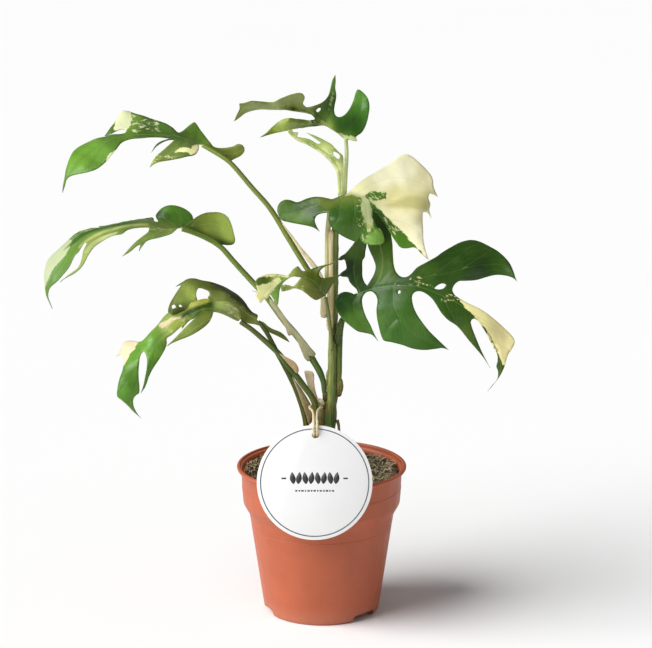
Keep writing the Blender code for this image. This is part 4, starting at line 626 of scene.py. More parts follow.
# The front one of the lowest pair, which hangs down past the rim
LEAVES["leaf_lower_front"] = dict(
    outline=[(-58, 211), (-62, 212.5), (-66, 214.6), (-72, 217), (-75.3, 217.4), (-76.5, 214),
        (-79, 209.5), (-84, 205), (-92, 200.2), (-100, 197), (-104.5, 195), (-109, 192.4),
        (-102.5, 198.8), (-97.2, 204.5), (-92.3, 209.5), (-88, 213.3), (-92, 211.8),
        (-95.3, 208.5), (-97.6, 205.3), (-97.8, 207.3), (-100.5, 205), (-104.5, 201.3),
        (-108.4, 198.3), (-108.3, 195), (-110, 190), (-114, 183), (-118, 177), (-121, 171),
        (-124, 163), (-127.4, 158.2), (-125.6, 163), (-124, 170), (-122.6, 178), (-122.7, 185),
        (-124.6, 189), (-126.5, 187), (-128, 180), (-128.5, 170), (-128, 163), (-128.4, 158.6),
        (-130.5, 157), (-132.3, 154.5), (-132.5, 150), (-130, 144), (-126.4, 139.4), (-133, 145.5),
        (-137, 150), (-141, 153.8), (-143.8, 156.3), (-143.7, 161), (-141.7, 170), (-139.2, 177),
        (-139.3, 183), (-140.2, 187.3), (-143.8, 185.2), (-141, 190), (-139, 194.2),
        (-136.5, 196.3), (-131, 196.5), (-126.5, 196.2), (-120, 202.5), (-115, 207.7),
        (-112.5, 211), (-109, 215), (-106, 217.2), (-104.3, 215.2), (-98, 217), (-93.5, 219.7),
        (-91.5, 223.5), (-87, 225.6), (-80, 227), (-76, 226), (-72, 225.4), (-66, 225),
        (-61, 222.5), (-57.5, 218), (-56.5, 214)],
    pins=[(-58, 212, -6), (-66, 215, -10), (-75, 217.5, -16), (-84, 205, -26), (-100, 197, -30),
        (-109, 192.5, -32), (-90, 212, -22), (-97, 204, -28), (-108.3, 197, -32), (-114, 183, -40),
        (-124, 163, -44), (-133, 170, -44), (-138, 179, -38), (-143, 160, -44), (-126.5, 140, -44),
        (-124.5, 188, -38), (-120, 200, -30), (-112, 208, -20), (-106, 217, -12), (-94, 218, -15),
        (-80, 226.5, -9), (-88, 225.5, -10), (-66, 225, -8), (-138, 195, -18),
        (-143.5, 185.5, -20), (-130, 196, -20)],
    midrib=[(-58, 212), (-65, 216.5), (-74, 219.8), (-83, 219.5), (-92, 215.5), (-101, 209),
        (-110, 202), (-118, 193), (-124, 182), (-129, 168), (-132.5, 157), (-131, 148),
        (-126.4, 139.4)],
    ribs=[[(-68, 218), (-80, 211), (-95, 201.5), (-108.5, 192.8)], [(-86, 218.3), (-96, 208),
        (-107.5, 198)], [(-99, 211), (-106, 215.8)], [(-114, 197.5), (-126, 193.5), (-140, 189.5)],
        [(-122, 186), (-132, 174), (-143, 158)], [(-116, 195), (-118.5, 184), (-126.5, 160)],
        [(-131.5, 160), (-136, 152), (-131, 146)]],
    tones=[(-132, 186, 109, 159, 69), (-134, 170, 85, 133, 50), (-137, 156, 96, 146, 62),
        (-128, 144, 111, 158, 76), (-121, 176, 92, 138, 56), (-118, 192, 118, 170, 80),
        (-122, 197, 122, 174, 82), (-104, 206, 186, 206, 142), (-97, 212, 134, 150, 84),
        (-87, 217.6, 44, 70, 24), (-79, 222, 44, 66, 22), (-90, 222, 170, 176, 92),
        (-84, 224.5, 168, 174, 96), (-70, 222, 188, 206, 144), (-60, 215, 160, 176, 110),
        (-82, 212, 128, 143, 77), (-100, 200, 128, 143, 77), (-106, 195, 120, 140, 70)],
    pale=[(-134, 190, 228, 208, 180)],
    cream=[[(-139.5, 178), (-133.5, 188), (-126.5, 197.5), (-133, 199), (-146, 190), (-146, 182)],
        [(-113.2, 207), (-111, 205.4), (-106, 209), (-101, 212.6), (-102, 213.8), (-107, 211.8),
        (-112, 210)], [(-91.8, 221), (-91.4, 223.8), (-87.5, 225.2), (-84, 225.6), (-84.6, 223.8),
        (-88, 222)]],
    paint=[([(-96, 219), (-93, 224.6), (-84, 227.6), (-75, 227), (-80, 223.5), (-88, 221)],
        (176, 178, 92), 1.6), ([(-97, 212), (-93, 215), (-88, 218), (-80, 221.5), (-76, 223),
        (-77, 225), (-84, 222.5), (-92, 219.5), (-98, 215)], (44, 74, 24), 1.4), ([(-108, 206),
        (-101, 203), (-94, 208), (-98, 212), (-104, 210)], (150, 164, 66), 2)],
    turned=[[(-113, 213), (-112, 203), (-98, 205), (-92, 213), (-97, 218), (-106, 220)],
        [(-75, 216), (-79, 209), (-92, 200), (-110, 190), (-100, 204), (-86, 214)]],
    flecks=[[(-68, 214), (-68, 226), (-55, 220), (-56, 211)], [(-104, 216), (-112, 204),
        (-96, 206), (-92, 218)]],
)

# The youngest leaf, still half rolled round its stalk
LEAVES["new_leaf"] = dict(
    outline=[(11.3, 301), (11.3, 306), (11, 311), (10, 317.5), (7, 322.8), (3.5, 326.5),
        (0, 329.6), (-5, 333), (-10, 336), (-14, 337.5), (-17, 339), (-20, 341.4), (-22.5, 344),
        (-23, 346.2), (-20.6, 346.6), (-19.3, 344.8), (-16, 344.5), (-16.6, 341.4), (-11, 340.4),
        (-7, 339), (-2.4, 336.4), (-0.3, 337.2), (-4, 340), (-10.4, 344.3), (-4, 342), (2, 339.2),
        (7, 336), (9.2, 333.6), (12, 330.7), (14.6, 328.4), (15.2, 324), (15.2, 317), (15, 309),
        (14.6, 301)],
    holes=[[(8.2, 331.3), (10.5, 330.5), (12.8, 328.4), (12, 325.8), (10, 327), (8.3, 328.6)]],
    pins=[(11.3, 301, -1.6), (14.6, 301, -1.6), (13, 301, -3.5), (12.5, 318, -5), (10, 318, -2),
        (15.2, 317, -2), (0, 329.6, -3), (3, 333, -6), (7, 336, -3), (-14, 337.5, -7),
        (-10, 340, -8), (-22.5, 345, -12), (-10.4, 344.3, -9), (11, 328, -5), (14.6, 328.4, -2)],
    midrib=[(13, 301), (13, 310), (12, 318), (8, 325), (1, 331.5), (-8, 337), (-16, 341),
        (-22, 345)],
    tones=[(13, 305, 246, 252, 206), (12, 318, 252, 255, 212), (9, 329, 172, 198, 116),
        (4, 333, 240, 250, 190), (-6, 339, 190, 218, 132), (-16, 341, 248, 255, 206),
        (-21, 345, 206, 222, 150)],
    pale=[(5, 325, 246, 250, 204)],
    cream=[[(-16, 339), (-2, 332), (8, 322), (11, 303), (8, 318), (-4, 330)]],
    flecks=[[(-20, 345), (12, 330), (16, 300), (10, 300), (0, 328)]],
)

# Stalks follow (x, depth, height) points, from the soil or the stem outwards. They taper through
# the radii and take the tones that come next, from foot to end. The stem's tones are spots in
# (x, height), lighter on its left and darker on its right: partly its own colour, partly
# painted light and shade.
STALKS = {
    "main_stem": (
        [(5, 0, 98), (5.5, 0, 120), (6.2, 0, 140), (7.2, 0, 160), (7.8, 0, 185), (8.2, 0, 210),
         (8.7, 0, 228), (9.2, 0, 250), (9.5, 0, 275), (11, 0, 290), (14.2, 0.4, 299.4)],
        [3.9, 3.4, 3.2, 3.05, 2.7, 2.4, 2.3, 2.7],
        # Partly painted light and shade: the spots on the stem's left side are lighter, those on
        # its right darker.
        [(4, 134, 84, 96, 44), (7, 138, 74, 118, 48), (10, 140, 80, 90, 44),
         (3.6, 150, 110, 98, 52), (5.4, 156, 164, 182, 96), (7.6, 156, 66, 104, 42),
         (9.5, 156, 78, 84, 36), (5, 170, 190, 200, 118), (7.6, 170, 84, 112, 48),
         (9.6, 170, 70, 74, 28), (4.4, 184, 84, 76, 36), (6, 184, 180, 192, 112),
         (8.2, 184, 74, 96, 38), (10, 184, 98, 94, 44), (5.6, 200, 172, 182, 104),
         (10, 200, 74, 80, 30), (8.5, 225, 146, 158, 76), (7.5, 250, 128, 142, 78),
         (11, 250, 104, 122, 58), (10, 275, 124, 140, 72), (14, 298, 140, 160, 96)]),
    "aerial_root": (
        [(11, -1.5, 139), (12.2, -2, 133), (12.5, -2, 115), (12.2, -2, 98)],
        [1.2, 0.9, 0.9, 0.8],
        [(104, 84, 48), (88, 66, 38)]),
    "petiole_top": (
        [(16, 1, 301), (16.6, 1, 315), (17.2, 1.5, 326), (17.2, 2.5, 333), (16.8, 3.6, 339.6)],
        [1.4, 1.3, 1.2],
        [(232, 242, 178), (214, 230, 160)]),
    "petiole_cream": (
        [(4.2, -0.8, 238), (4.2, -0.8, 258), (4.4, -1.2, 275), (5.4, -3.4, 287), (6.5, -5, 295.6)],
        [2, 1.9, 1.6, 1.5],
        [(204, 198, 144), (222, 214, 164), (190, 194, 132)]),
    "petiole_upper_left": (
        [(1.6, -1, 214), (1.6, -1, 222), (0.6, -1, 231), (-4, -1, 239.5), (-10, -1, 248.5),
         (-22, -1, 268.5), (-35, -1, 290.5), (-48, -1.4, 306), (-60, -2.4, 320.5),
         (-66, -2.8, 326), (-74, -2.4, 331), (-82, -0.6, 335.6)],
        [2.1, 2, 1.9, 1.8, 1.6, 1.5, 1.2],
        [(160, 164, 96), (138, 152, 70), (124, 140, 56), (134, 150, 66)]),
    "petiole_left": (
        [(4.8, 0.4, 149), (3.2, -0.2, 154), (1.9, -0.5, 160), (1.2, -1, 167), (-1.2, -1.6, 174),
         (-5.6, -2, 182), (-11, -2, 191), (-17, -2, 200), (-26, -2, 211), (-33, -2, 221),
         (-40, -1.5, 230.5), (-48, -1, 239), (-60, -2, 252.5), (-70, -3.4, 264),
         (-80, -3.8, 270.3), (-90, -4, 274.5), (-96.8, -4, 276.6)],
        [1, 1.6, 2.2, 2.4, 2.2, 2, 1.8, 1.6, 1.4],
        [(70, 84, 34), (64, 104, 40), (112, 134, 58), (118, 142, 58), (108, 130, 48)]),
    "petiole_small": (
        [(7.2, -4.6, 190), (6.3, -6.8, 203), (5.4, -8.8, 211), (4.4, -12, 220), (3, -16.4, 227.6)],
        [1.2, 1.2, 1.1, 1],
        [(128, 134, 72), (112, 120, 58)]),
    "petiole_right": (
        [(8.4, 0.8, 144), (10.2, 0.4, 156), (11.6, 0, 165), (12.4, -0.5, 172), (12.6, -1, 185),
         (12.8, -2, 195), (13.6, -3.5, 206), (15.2, -4.4, 213), (18, -5.2, 220), (22.2, -6.4, 227),
         (24.8, -7.4, 230)],
        [1, 1.6, 1.8, 1.8, 1.7, 1.5, 1.3],
        [(108, 104, 48), (84, 104, 36), (70, 104, 36), (66, 104, 36)]),
    "petiole_lower_back": (
        [(-9, 3, 98), (-10, 3, 120), (-11, 3, 137), (-14, 3, 150), (-19, 3, 164), (-25, 3, 176.5),
         (-30, 2.8, 186), (-34, 2.2, 194), (-38, 1.2, 202), (-42, 0.4, 208), (-44.2, 0.4, 210.6)],
        [2.2, 2.1, 1.9, 1.7, 1.5, 1.3],
        [(112, 92, 30), (70, 82, 20), (62, 84, 20), (72, 78, 20)]),
    "petiole_lower_front": (
        [(-3.6, -5, 98), (-3.6, -5, 120), (-3.9, -5, 140), (-4.6, -5, 150), (-7.6, -4.5, 157),
         (-13, -4.5, 164.5), (-19, -4.5, 173), (-25, -4.5, 181), (-31, -4.5, 188.5),
         (-40, -5, 197), (-49, -5.5, 205), (-56.6, -6, 210.4)],
        [2.2, 2.1, 2.1, 2, 1.8, 1.6],
        [(120, 98, 36), (84, 92, 24), (60, 92, 26), (80, 84, 24)]),
}

# The papery or green sheaths that wrap the stalks' feet: each an outline in (x, height), the
# pins that give it its depth, and its tones from its foot upwards.
SHEATHS = {
    "sheath_upper_left": (
        [(-28, 282), (-22, 274.5), (-13, 262.5), (-3.5, 251), (0, 245), (3, 238), (3.2, 229),
         (3, 213.2), (-0.2, 213.7), (-0.3, 229), (-1.5, 238), (-4.5, 246), (-7, 250), (-12, 256.5),
         (-20, 269), (-27, 280)],
        [(-27, 281, -4.2), (-20, 270, -4.4), (-10, 257, -4.6), (-2, 242, -4.8), (2, 229, -5),
         (1, 214, -5), (3, 222, -4.6), (-0.2, 222, -4.6)],
        [(196, 190, 140), (246, 234, 190), (240, 228, 178)]),
    "sheath_left": (
        [(-36.5, 227.5), (-33, 225), (-29.5, 220), (-22.5, 210), (-14, 200), (-7, 191), (-4, 187),
         (-5.5, 185.5), (-8.5, 185.8), (-8, 183), (-9.5, 181.8), (-11.5, 183.5), (-14, 189),
         (-20, 201), (-23, 200.5), (-25.5, 207), (-31, 216), (-36, 223.5)],
        [(-36, 226, -4.9), (-30, 217, -5.4), (-22, 206, -5.4), (-14, 195, -5.6), (-8, 187, -5.6),
         (-23, 200.5, -4.4), (-9.5, 182, -5.2), (-4, 187, -4.8)],
        [(142, 146, 98), (158, 158, 116), (172, 168, 124)]),
    "sheath_stem": (
        [(5.8, 203), (4, 205), (3.6, 215), (3.9, 229), (4.9, 240), (5, 250), (5, 262), (5.6, 276),
         (7.4, 276), (7.7, 262), (8, 250), (8.3, 240), (8.4, 228), (8.2, 215), (7.5, 205)],
        [(6, 204, -4.2), (6, 215, -3.8), (6.5, 228, -3.8), (6.5, 240, -3.9), (6.5, 260, -4.1),
         (6.5, 275, -4.3), (4, 215, -3.4), (8, 215, -3.4)],
        [(224, 206, 150), (240, 222, 168), (244, 230, 178)]),
    "sheath_right": (
        [(12, 193), (8, 197), (9, 203), (11, 209), (13, 213.5), (15.5, 209), (14.8, 203),
         (13.2, 197)],
        [(12, 193, -4.8), (8, 197, -3.8), (10, 206, -5.6), (13, 213, -7.4), (15.5, 209, -7),
         (13.5, 199, -5.8)],
        [(42, 64, 12), (60, 78, 18)]),
    "sheath_lower": (
        [(-21, 171), (-18.5, 168), (-13, 160), (-9.5, 154), (-6.4, 147.5), (-6.6, 143),
         (-7.2, 137), (-9, 136), (-10.5, 141), (-13.5, 150), (-17, 160)],
        [(-20, 170, -0.4), (-14, 158, 0.2), (-9, 150, 1), (-7, 146, 1.5), (-8, 137, 1.5),
         (-10.5, 141, 0.6), (-13, 149, 0.2)],
        [(146, 124, 66), (166, 150, 94), (184, 162, 106)]),
    "sheath_lower_front": (
        [(-30, 188), (-24, 184.5), (-18, 180.5), (-16, 174.5), (-17.5, 173), (-21, 177),
         (-27, 184)],
        [(-29, 187.5, -8), (-24, 183, -7.6), (-18, 178, -7.4), (-16.5, 174, -7.4)],
        [(178, 140, 92), (196, 168, 118)]),
    "dry_strip": (
        [(-12, 175), (-6, 174), (-5, 165), (-3, 156), (1, 149), (-1, 148), (-4, 151), (-7, 157),
         (-10, 165)],
        [(-11, 174, -0.2), (-6, 173, 0), (-6, 160, 0.6), (-2, 152, 0.9), (0, 149, 0.9)],
        [(240, 220, 178), (246, 228, 190)]),
}

# Rings of old growth at the stem's foot: (x, height, depth), half sizes, tilt, foot and top tone
COLLARS = [
    ((0.6, 141.0, 1.5), (3.4, 2.6, 7.5), 6, (138, 126, 72), (176, 164, 108)),
    ((2.7, 156.4, -0.4), (2.2, 1.7, 4.4), -6, (84, 58, 34), (98, 78, 44)),
    ((3.9, 169.0, -1.4), (0.9, 0.8, 7.0), 3, (156, 132, 92), (206, 190, 146)),
    ((2.8, 150.6, 0.2), (2.5, 1.9, 3.6), 10, (112, 100, 54), (138, 126, 74)),
    ((-0.8, 152.2, -2.4), (3.2, 1.3, 2.3), 40, (214, 200, 160), (244, 234, 204)),
]


# ---------------------------------------------------------------- drawing and bending


def sighted(x, height, depth):
    """Carries drafted places to their depths along the line of sight, in metres."""
    x, height, depth = (np.asarray(value, float) for value in (x, height, depth))
    share = depth / -EYE[1]
    return np.stack([x + (x - EYE[0]) * share, depth, height + (height - EYE[2]) * share], -1) * MM


def through(points, steps, closed=False):
    """Points along a smooth curve through the given ones (Catmull-Rom)."""
    nodes = [np.array(p, float) for p in points]
    if closed:
        nodes = [nodes[-1]] + nodes + nodes[:2]
    else:
        nodes = [2 * nodes[0] - nodes[1]] + nodes + [2 * nodes[-1] - nodes[-2]]
    found = []
    for a, b, c, d in zip(nodes, nodes[1:], nodes[2:], nodes[3:]):
        for t in np.arange(steps) / steps:
            found.append(0.5 * (2 * b + (c - a) * t + (2 * a - 5 * b + 4 * c - d) * t**2
                                + (3 * b - a - 3 * c + d) * t**3))
    if not closed:
        found.append(nodes[-2])
    return np.array(found)


def drawn(points, steps):
    """A closed outline through the points that is smooth, yet stays sharp at its tips."""
    node = np.array(points, float)
    ahead = np.roll(node, -1, 0) - node
    length = np.linalg.norm(ahead, axis=1)
    heading = ahead / length[:, None]
    mean = heading + np.roll(heading, 1, 0)
    size = np.linalg.norm(mean, axis=1)
    tangent = mean / np.maximum(size, 1e-6)[:, None] * np.clip(size - 0.9, 0, 1)[:, None]
    found = []
    for t in np.arange(steps) / steps:
        rest = 1 - t
        found.append((1 + 2 * t) * rest**2 * node.T + t * rest**2 * length * tangent.T
                     + t**2 * (3 - 2 * t) * np.roll(node, -1, 0).T
                     - t**2 * rest * length * np.roll(tangent, -1, 0).T)
    return np.array(found).transpose(2, 0, 1).reshape(-1, 2)


def pinned_sheet(pins):
    """A smooth map from a flat drawing to where it stands (a thin-plate spline through the pins).

    A pin of three numbers is (x, height, depth) of a place that is drawn where it stands. One of
    five is (along, across, x, depth, height) of a place that was drawn on a leaf laid out flat.
    """
    upright = len(pins[0]) == 3
    flat = np.array([pin[:2] for pin in pins], float)
    goal = np.array([(p[0], p[2], p[1]) if upright else p[2:] for p in pins], float)
    count = len(flat)

    def bend(places):
        gap = np.linalg.norm(places[:, None] - flat[None], axis=2)
        return gap**2 * np.log(gap + 1e-9)

    square = np.zeros((count + 3, count + 3))
    square[:count, :count] = bend(flat) + PIN_SOFTNESS * np.eye(count)
    square[:count, count] = 1.0
    square[:count, count + 1:] = flat
    square[count:, :count] = square[:count, count:].T
    weights = np.linalg.solve(square, np.vstack([goal, np.zeros((3, 3))]))

    def place(places):
        x, depth, height = (bend(places) @ weights[:count] + weights[count]
                            + places @ weights[count + 1:]).T
        if upright:
            x, height = places.T
        return sighted(x, height, depth)

    return place


def reach(places, line):
    """How far each place is from a line of points, and how far along the line that is."""
    line = np.array(line, float)
    start, step = line[:-1], np.diff(line, axis=0)
    span = np.linalg.norm(step, axis=1)
    offset = places[:, None] - start[None]
    share = np.clip((offset * step).sum(2) / span**2, 0, 1)
    away = np.linalg.norm(offset - share[..., None] * step, axis=2)
    near = away.argmin(1)
    rows = np.arange(len(places))
    along = np.concatenate([[0.0], np.cumsum(span)])[near] + share[rows, near] * span[near]
    side = np.sign(step[near, 0] * offset[rows, near, 1] - step[near, 1] * offset[rows, near, 0])
    return away[rows, near], along, side


def inside(places, loop):
    loop = np.array(loop, float)
    x, y = places[:, :1], places[:, 1:2]
    x0, y0 = loop.T
    x1, y1 = np.roll(loop, -1, 0).T
    with np.errstate(divide="ignore", invalid="ignore"):
        meets = ((y0 > y) != (y1 > y)) & (x < x0 + (y - y0) * (x1 - x0) / (y1 - y0))
    return meets.sum(1) % 2 == 1


def on_sheet(places, loops):
    """Which places lie inside the first loop and outside the holes that follow it."""
    kept = inside(places, loops[0])
    for hole in loops[1:]:
        kept &= ~inside(places, hole)
    return kept


def patch(places, loops, spread=12.0):
    """How deep inside the nearest loop each place lies: negative outside, in millimetres."""
    depth = np.full(len(places), -spread)
    for loop in loops:
        rim = list(loop) + [loop[0]]
        depth = np.maximum(depth, reach(places, rim)[0] * np.where(inside(places, loop), 1, -1))
    return np.clip(depth, -spread, spread)


def even_mesh(outline, holes, lines, cell):
    """Even triangles inside a drawn outline, with the given lines among their edges."""
    loops = [drawn(outline, 4)] + [drawn(hole, 4) for hole in holes]
    lines = [through(line, 5) for line in lines]
    lines = [line[inside(line, loops[0])] for line in lines]
    low, high = loops[0].min(0), loops[0].max(0)
    row = cell * math.sqrt(0.75)
    grid = np.array([(x + (number % 2) * cell / 2, y)
                     for number, y in enumerate(np.arange(low[1], high[1], row))
                     for x in np.arange(low[0], high[0], cell)])
    keep = on_sheet(grid, loops)
    for loop in loops:
        keep &= reach(grid, np.vstack([loop, loop[:1]]))[0] > cell * 0.55
    for line in lines:
        if len(line) > 1:
            keep &= reach(grid, line)[0] > cell * 0.5
    points, edges = [], []
    for loop in loops:
        first = len(points)
        points += loop.tolist()
        edges += [(first + n, first + (n + 1) % len(loop)) for n in range(len(loop))]
    for line in lines:
        first = len(points)
        points += line.tolist()
        edges += [(first + n, first + n + 1) for n in range(len(line) - 1)]
    points += grid[keep].tolist()
    found = delaunay_2d_cdt([Vector(p) for p in points], edges, [], 1, 1e-4)
    places = np.array([tuple(p) for p in found[0]])
    faces = np.array([face for face in found[2] if len(face) == 3])
    faces = faces[on_sheet(places[faces].mean(1), loops)]
    used, index = np.unique(faces, return_inverse=True)
    return places[used], index.reshape(-1, 3)


# ---------------------------------------------------------------- meshes


def deselect():
    if bpy.context.object and bpy.context.object.mode != "OBJECT":
        bpy.ops.object.mode_set(mode="OBJECT")
    bpy.ops.object.select_all(action="DESELECT")


def only(thing):
    deselect()
    thing.select_set(True)
    bpy.context.view_layer.objects.active = thing


def mesh_piece(name, points, faces):
    mesh = bpy.data.meshes.new(name)
    mesh.from_pydata([tuple(p) for p in points], [], [tuple(int(n) for n in f) for f in faces])
    thing = bpy.data.objects.new(name, mesh)
    bpy.context.scene.collection.objects.link(thing)
    only(thing)
    bpy.ops.object.shade_smooth()
    return thing


def modify(thing, kind, **settings):
    only(thing)
    changed = thing.modifiers.new(kind.title(), kind)
    for key, value in settings.items():
        setattr(changed, key, value)
    bpy.ops.object.modifier_apply(modifier=changed.name)


def write(thing, name, values, kind="FLOAT"):
    """Keeps one value for each vertex on the mesh, where the material reads it."""
    values = np.asarray(values, np.float32)
    layer = thing.data.attributes.new(name, kind, "POINT")
    if kind == "FLOAT_COLOR":
        values = np.hstack([values, np.ones((len(values), 1), np.float32)])
        layer.data.foreach_set("color", values.ravel())
    else:
        layer.data.foreach_set("value" if kind == "FLOAT" else "vector", values.ravel())


def join(name, pieces):
    deselect()
    for piece in pieces:
        piece.select_set(True)
    bpy.context.view_layer.objects.active = pieces[0]
    if len(pieces) > 1:
        bpy.ops.object.join()
    pieces[0].name = name
    return pieces[0]


def settle(thing, name, slot, finishes, *nodes):
    """Names a finished piece, paints it and hands it over to the frame."""
    only(thing)
    bpy.ops.object.transform_apply(location=True, rotation=True, scale=True)
    thing.name = thing.data.name = name
    for finish in finishes:
        if finish.name not in thing.data.materials:
            thing.data.materials.append(finish)
    if not thing.data.polygons:
        raise RuntimeError(f"{name} has no faces")
    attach(thing, "root")
    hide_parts(*nodes)
    return thing


def tube_skin(route, radii, sides, lobes=0, lobe_depth=0.0, turns_per_mm=0.0):
    """The points, faces and grain of a closed tube along points in metres."""
    route = np.asarray(route, float)
    heading = np.gradient(route, axis=0)
    heading /= np.linalg.norm(heading, axis=1)[:, None]
    along = np.concatenate([[0.0], np.cumsum(np.linalg.norm(np.diff(route, axis=0), axis=1))]) / MM
    aside = np.cross(heading[0], (0.0, 1.0, 0.0))
    if np.linalg.norm(aside) < 0.1:
        aside = np.cross(heading[0], (1.0, 0.0, 0.0))
    points, grain, angles = [], [], np.arange(sides) * math.tau / sides
    for centre, ahead, radius, distance in zip(route, heading, radii, along):
        aside = aside - ahead * (aside @ ahead)
        aside /= np.linalg.norm(aside)
        third = np.cross(ahead, aside)
        size = radius * MM * (1 - lobe_depth / 2 + lobe_depth / 2 * np.cos(
            lobes * (angles + distance * turns_per_mm * math.tau)))
        points += list(centre + size[:, None] * (np.cos(angles)[:, None] * aside
                                                 + np.sin(angles)[:, None] * third))
        grain += [(radius * math.cos(a), radius * math.sin(a), distance) for a in angles]
    faces = [(ring * sides + n, ring * sides + (n + 1) % sides,
              (ring + 1) * sides + (n + 1) % sides, (ring + 1) * sides + n)
             for ring in range(len(route) - 1) for n in range(sides)]
    faces += [tuple(range(sides))[::-1], tuple((len(route) - 1) * sides + n for n in range(sides))]
    return points, faces, grain


def tube(name, *shape):
    """A closed tube along points in metres. Its lobes, if any, twist as they go."""
    points, faces, grain = tube_skin(*shape)
    thing = mesh_piece(name, points, faces)
    write(thing, "grain", grain, "FLOAT_VECTOR")
    return thing


def blended(places, spots):
    """A colour for each place, blended from the nearest spots: a place and the colour there."""
    known = np.array([spot[:2] for spot in spots], float)
    colours = np.array([linear(*spot[2:]) for spot in spots])
    share = 1 / (((places[:, None] - known[None]) ** 2).sum(2) + 6.0) ** 1.7
    return (share @ colours) / share.sum(1, keepdims=True)


def graded(share, tones):
    """Colours that run evenly through the tones as the share goes from 0 to 1."""
    ends = np.array([linear(*tone) for tone in tones])
    steps = np.linspace(0, 1, len(ends))
    return np.stack([np.interp(share, steps, ends[:, n]) for n in range(3)], 1)


def rolling(points, size, seed):
    """Gentle unevenness, the same each time, between -1 and 1."""
    return np.array([noise.noise(Vector(p) / size + Vector((seed, 0.0, 0.0))) for p in points])


def roughen(thing, scale, depth):
    """Moves each point a little its own way. The seed keeps it the same each time."""
    noise.seed_set(11)
    for vert in thing.data.vertices:
        vert.co += Vector(noise.noise_vector(vert.co * scale)) * depth


def mesh_normals(thing):
    normals = np.empty(len(thing.data.vertices) * 3, np.float32)
    thing.data.vertex_normals.foreach_get("vector", normals)
    return normals.reshape(-1, 3)


def face(thing, view):
    """Turns a sheet's faces towards the viewer and gives its normals."""
    normals = mesh_normals(thing)
    if np.median((normals * view).sum(1)) < 0:
        thing.data.flip_normals()
        normals = -normals
    return normals


def thicken(thing, points, thickness):
    """Moves a sheet's points to where they end up, then gives it two skins."""
    thing.data.vertices.foreach_set("co", points.ravel())
    thing.data.update()
    modify(thing, "SOLIDIFY", thickness=thickness, offset=0.0)
    if len(thing.data.vertices) != 2 * len(points):
        raise RuntimeError(f"{thing.name} did not thicken into two skins")


def write_both(thing, name, values, kind="FLOAT"):
    """Keeps the same values on both skins of a thickened sheet."""
    write(thing, name, np.concatenate([values, values]), kind)


def leaf(name, plan, seed):
    """A blade: even triangles, bent into place, veined, undulating and then thickened."""
    plan = {**dict.fromkeys(("holes", "ribs", "cream", "green", "turned", "paint"), ()), **plan}
    setting = bpy.context.scene.monstera_plant
    places, faces = even_mesh(plan["outline"], plan["holes"], [plan["midrib"], *plan["ribs"]],
                              setting.cell)
    points = pinned_sheet(plan["pins"])(places)
    thing = mesh_piece(name, points, faces)
    view = np.array(EYE) * MM - points
    normals = face(thing, view)
    seen = (normals * view).sum(1) > 0
    # Distance to the nearest rib, measured in that rib's own half widths
    away, along, side = reach(places, through(plan["midrib"], 4))
    vein = away / np.interp(along, [0, along.max()], [0.75, 0.3])
    crease = setting.vein_depth * 1.5 * np.exp(-(away / 1.5) ** 2)
    for rib in plan["ribs"]:
        gap, far, _ = reach(places, through(rib, 4))
        vein = np.minimum(vein, gap / np.interp(far, [0, max(far.max(), 1)], [0.4, 0.15]))
        crease = np.maximum(crease, setting.vein_depth * np.exp(-(gap / 1.7) ** 2))
    turned = patch(places, plan["turned"], 6.0)
    swell = rolling(points / MM, 11.0, seed) * 0.55 + rolling(points / MM, 4.5, seed + 7) * 0.16
    shift = swell * np.clip(away / 4, 0.2, 1) - crease * np.where(turned > 0, -0.8, 1.0)
    thicken(thing, points + normals * (shift * MM)[:, None], setting.blade_thickness)
    # Which way the fine veins run: a smooth pair of along and across
    samples = through(plan["midrib"], 6)
    reached = np.concatenate([[0.0], np.cumsum(np.linalg.norm(np.diff(samples, axis=0), axis=1))])
    weight = 1 / (((places[:, None] - samples[None]) ** 2).sum(2) + 5.0) ** 3
    smooth_along = (weight @ reached) / weight.sum(1)
    write_both(thing, "grain", np.stack([smooth_along, away * side, away * 0], 1), "FLOAT_VECTOR")
    tone, pale = blended(places, plan["tones"]), blended(places, plan["pale"])
    for loop, colour, soft in plan["paint"]:
        share = np.clip(patch(places, [loop]) / soft + 0.5, 0, 1)[:, None]
        tone = tone * (1 - share) + np.array(linear(*colour)) * share
        pale = pale * (1 - share) + np.array(linear(*colour)) * share
    tone = np.maximum(tone * np.array(setting.tint) - 0.006, 0.004)
    write_both(thing, "pale", pale * np.array(setting.cream_tint), "FLOAT_COLOR")
    far_side = np.where(turned[:, None] > 0, tone * 0.25 + np.array(linear(48, 82, 30)) * 0.6,
                        tone * 0.3 + np.array(linear(128, 148, 88)) * 0.5)
    front = seen[:, None]
    write(thing, "tone", np.vstack([np.where(front, tone, far_side),
                                    np.where(front, far_side, tone)]), "FLOAT_COLOR")
    turned = np.where(seen, turned, -turned)
    write(thing, "turned", np.concatenate([turned, -turned]))
    write_both(thing, "cream", np.minimum(patch(places, plan["cream"]),
                                          -patch(places, plan["green"])))
    write_both(thing, "fleck", np.clip(patch(places, plan["flecks"]) / 3 + 0.5, 0, 1))
    write_both(thing, "vein", np.minimum(vein, 12))
    return thing


def dry_sheet(name, outline, pins, tones, seed):
    """A papery sheath: a drawn sheet, crumpled a little."""
    foot, tip = min(outline, key=lambda p: p[1]), max(outline, key=lambda p: p[1])
    places, faces = even_mesh(outline, [], [], 1.5)
    points = pinned_sheet(pins)(places)
    thing = mesh_piece(name, points, faces)
    normals = face(thing, np.array((0.0, -1.0, 0.0)))
    crumple = rolling(points / MM * np.array((1.0, 1.0, 0.25)), 1.6, seed) * 0.28
    thicken(thing, points + normals * (crumple * MM)[:, None], 0.35 * MM)
    share = np.clip((places[:, 1] - foot[1]) / (tip[1] - foot[1]), 0, 1)
    write_both(thing, "tone", graded(share, tones), "FLOAT_COLOR")
    away, along, side = reach(places, (foot, tip))
    write_both(thing, "grain", np.stack([along, away * side, along * 0], 1), "FLOAT_VECTOR")
    return thing


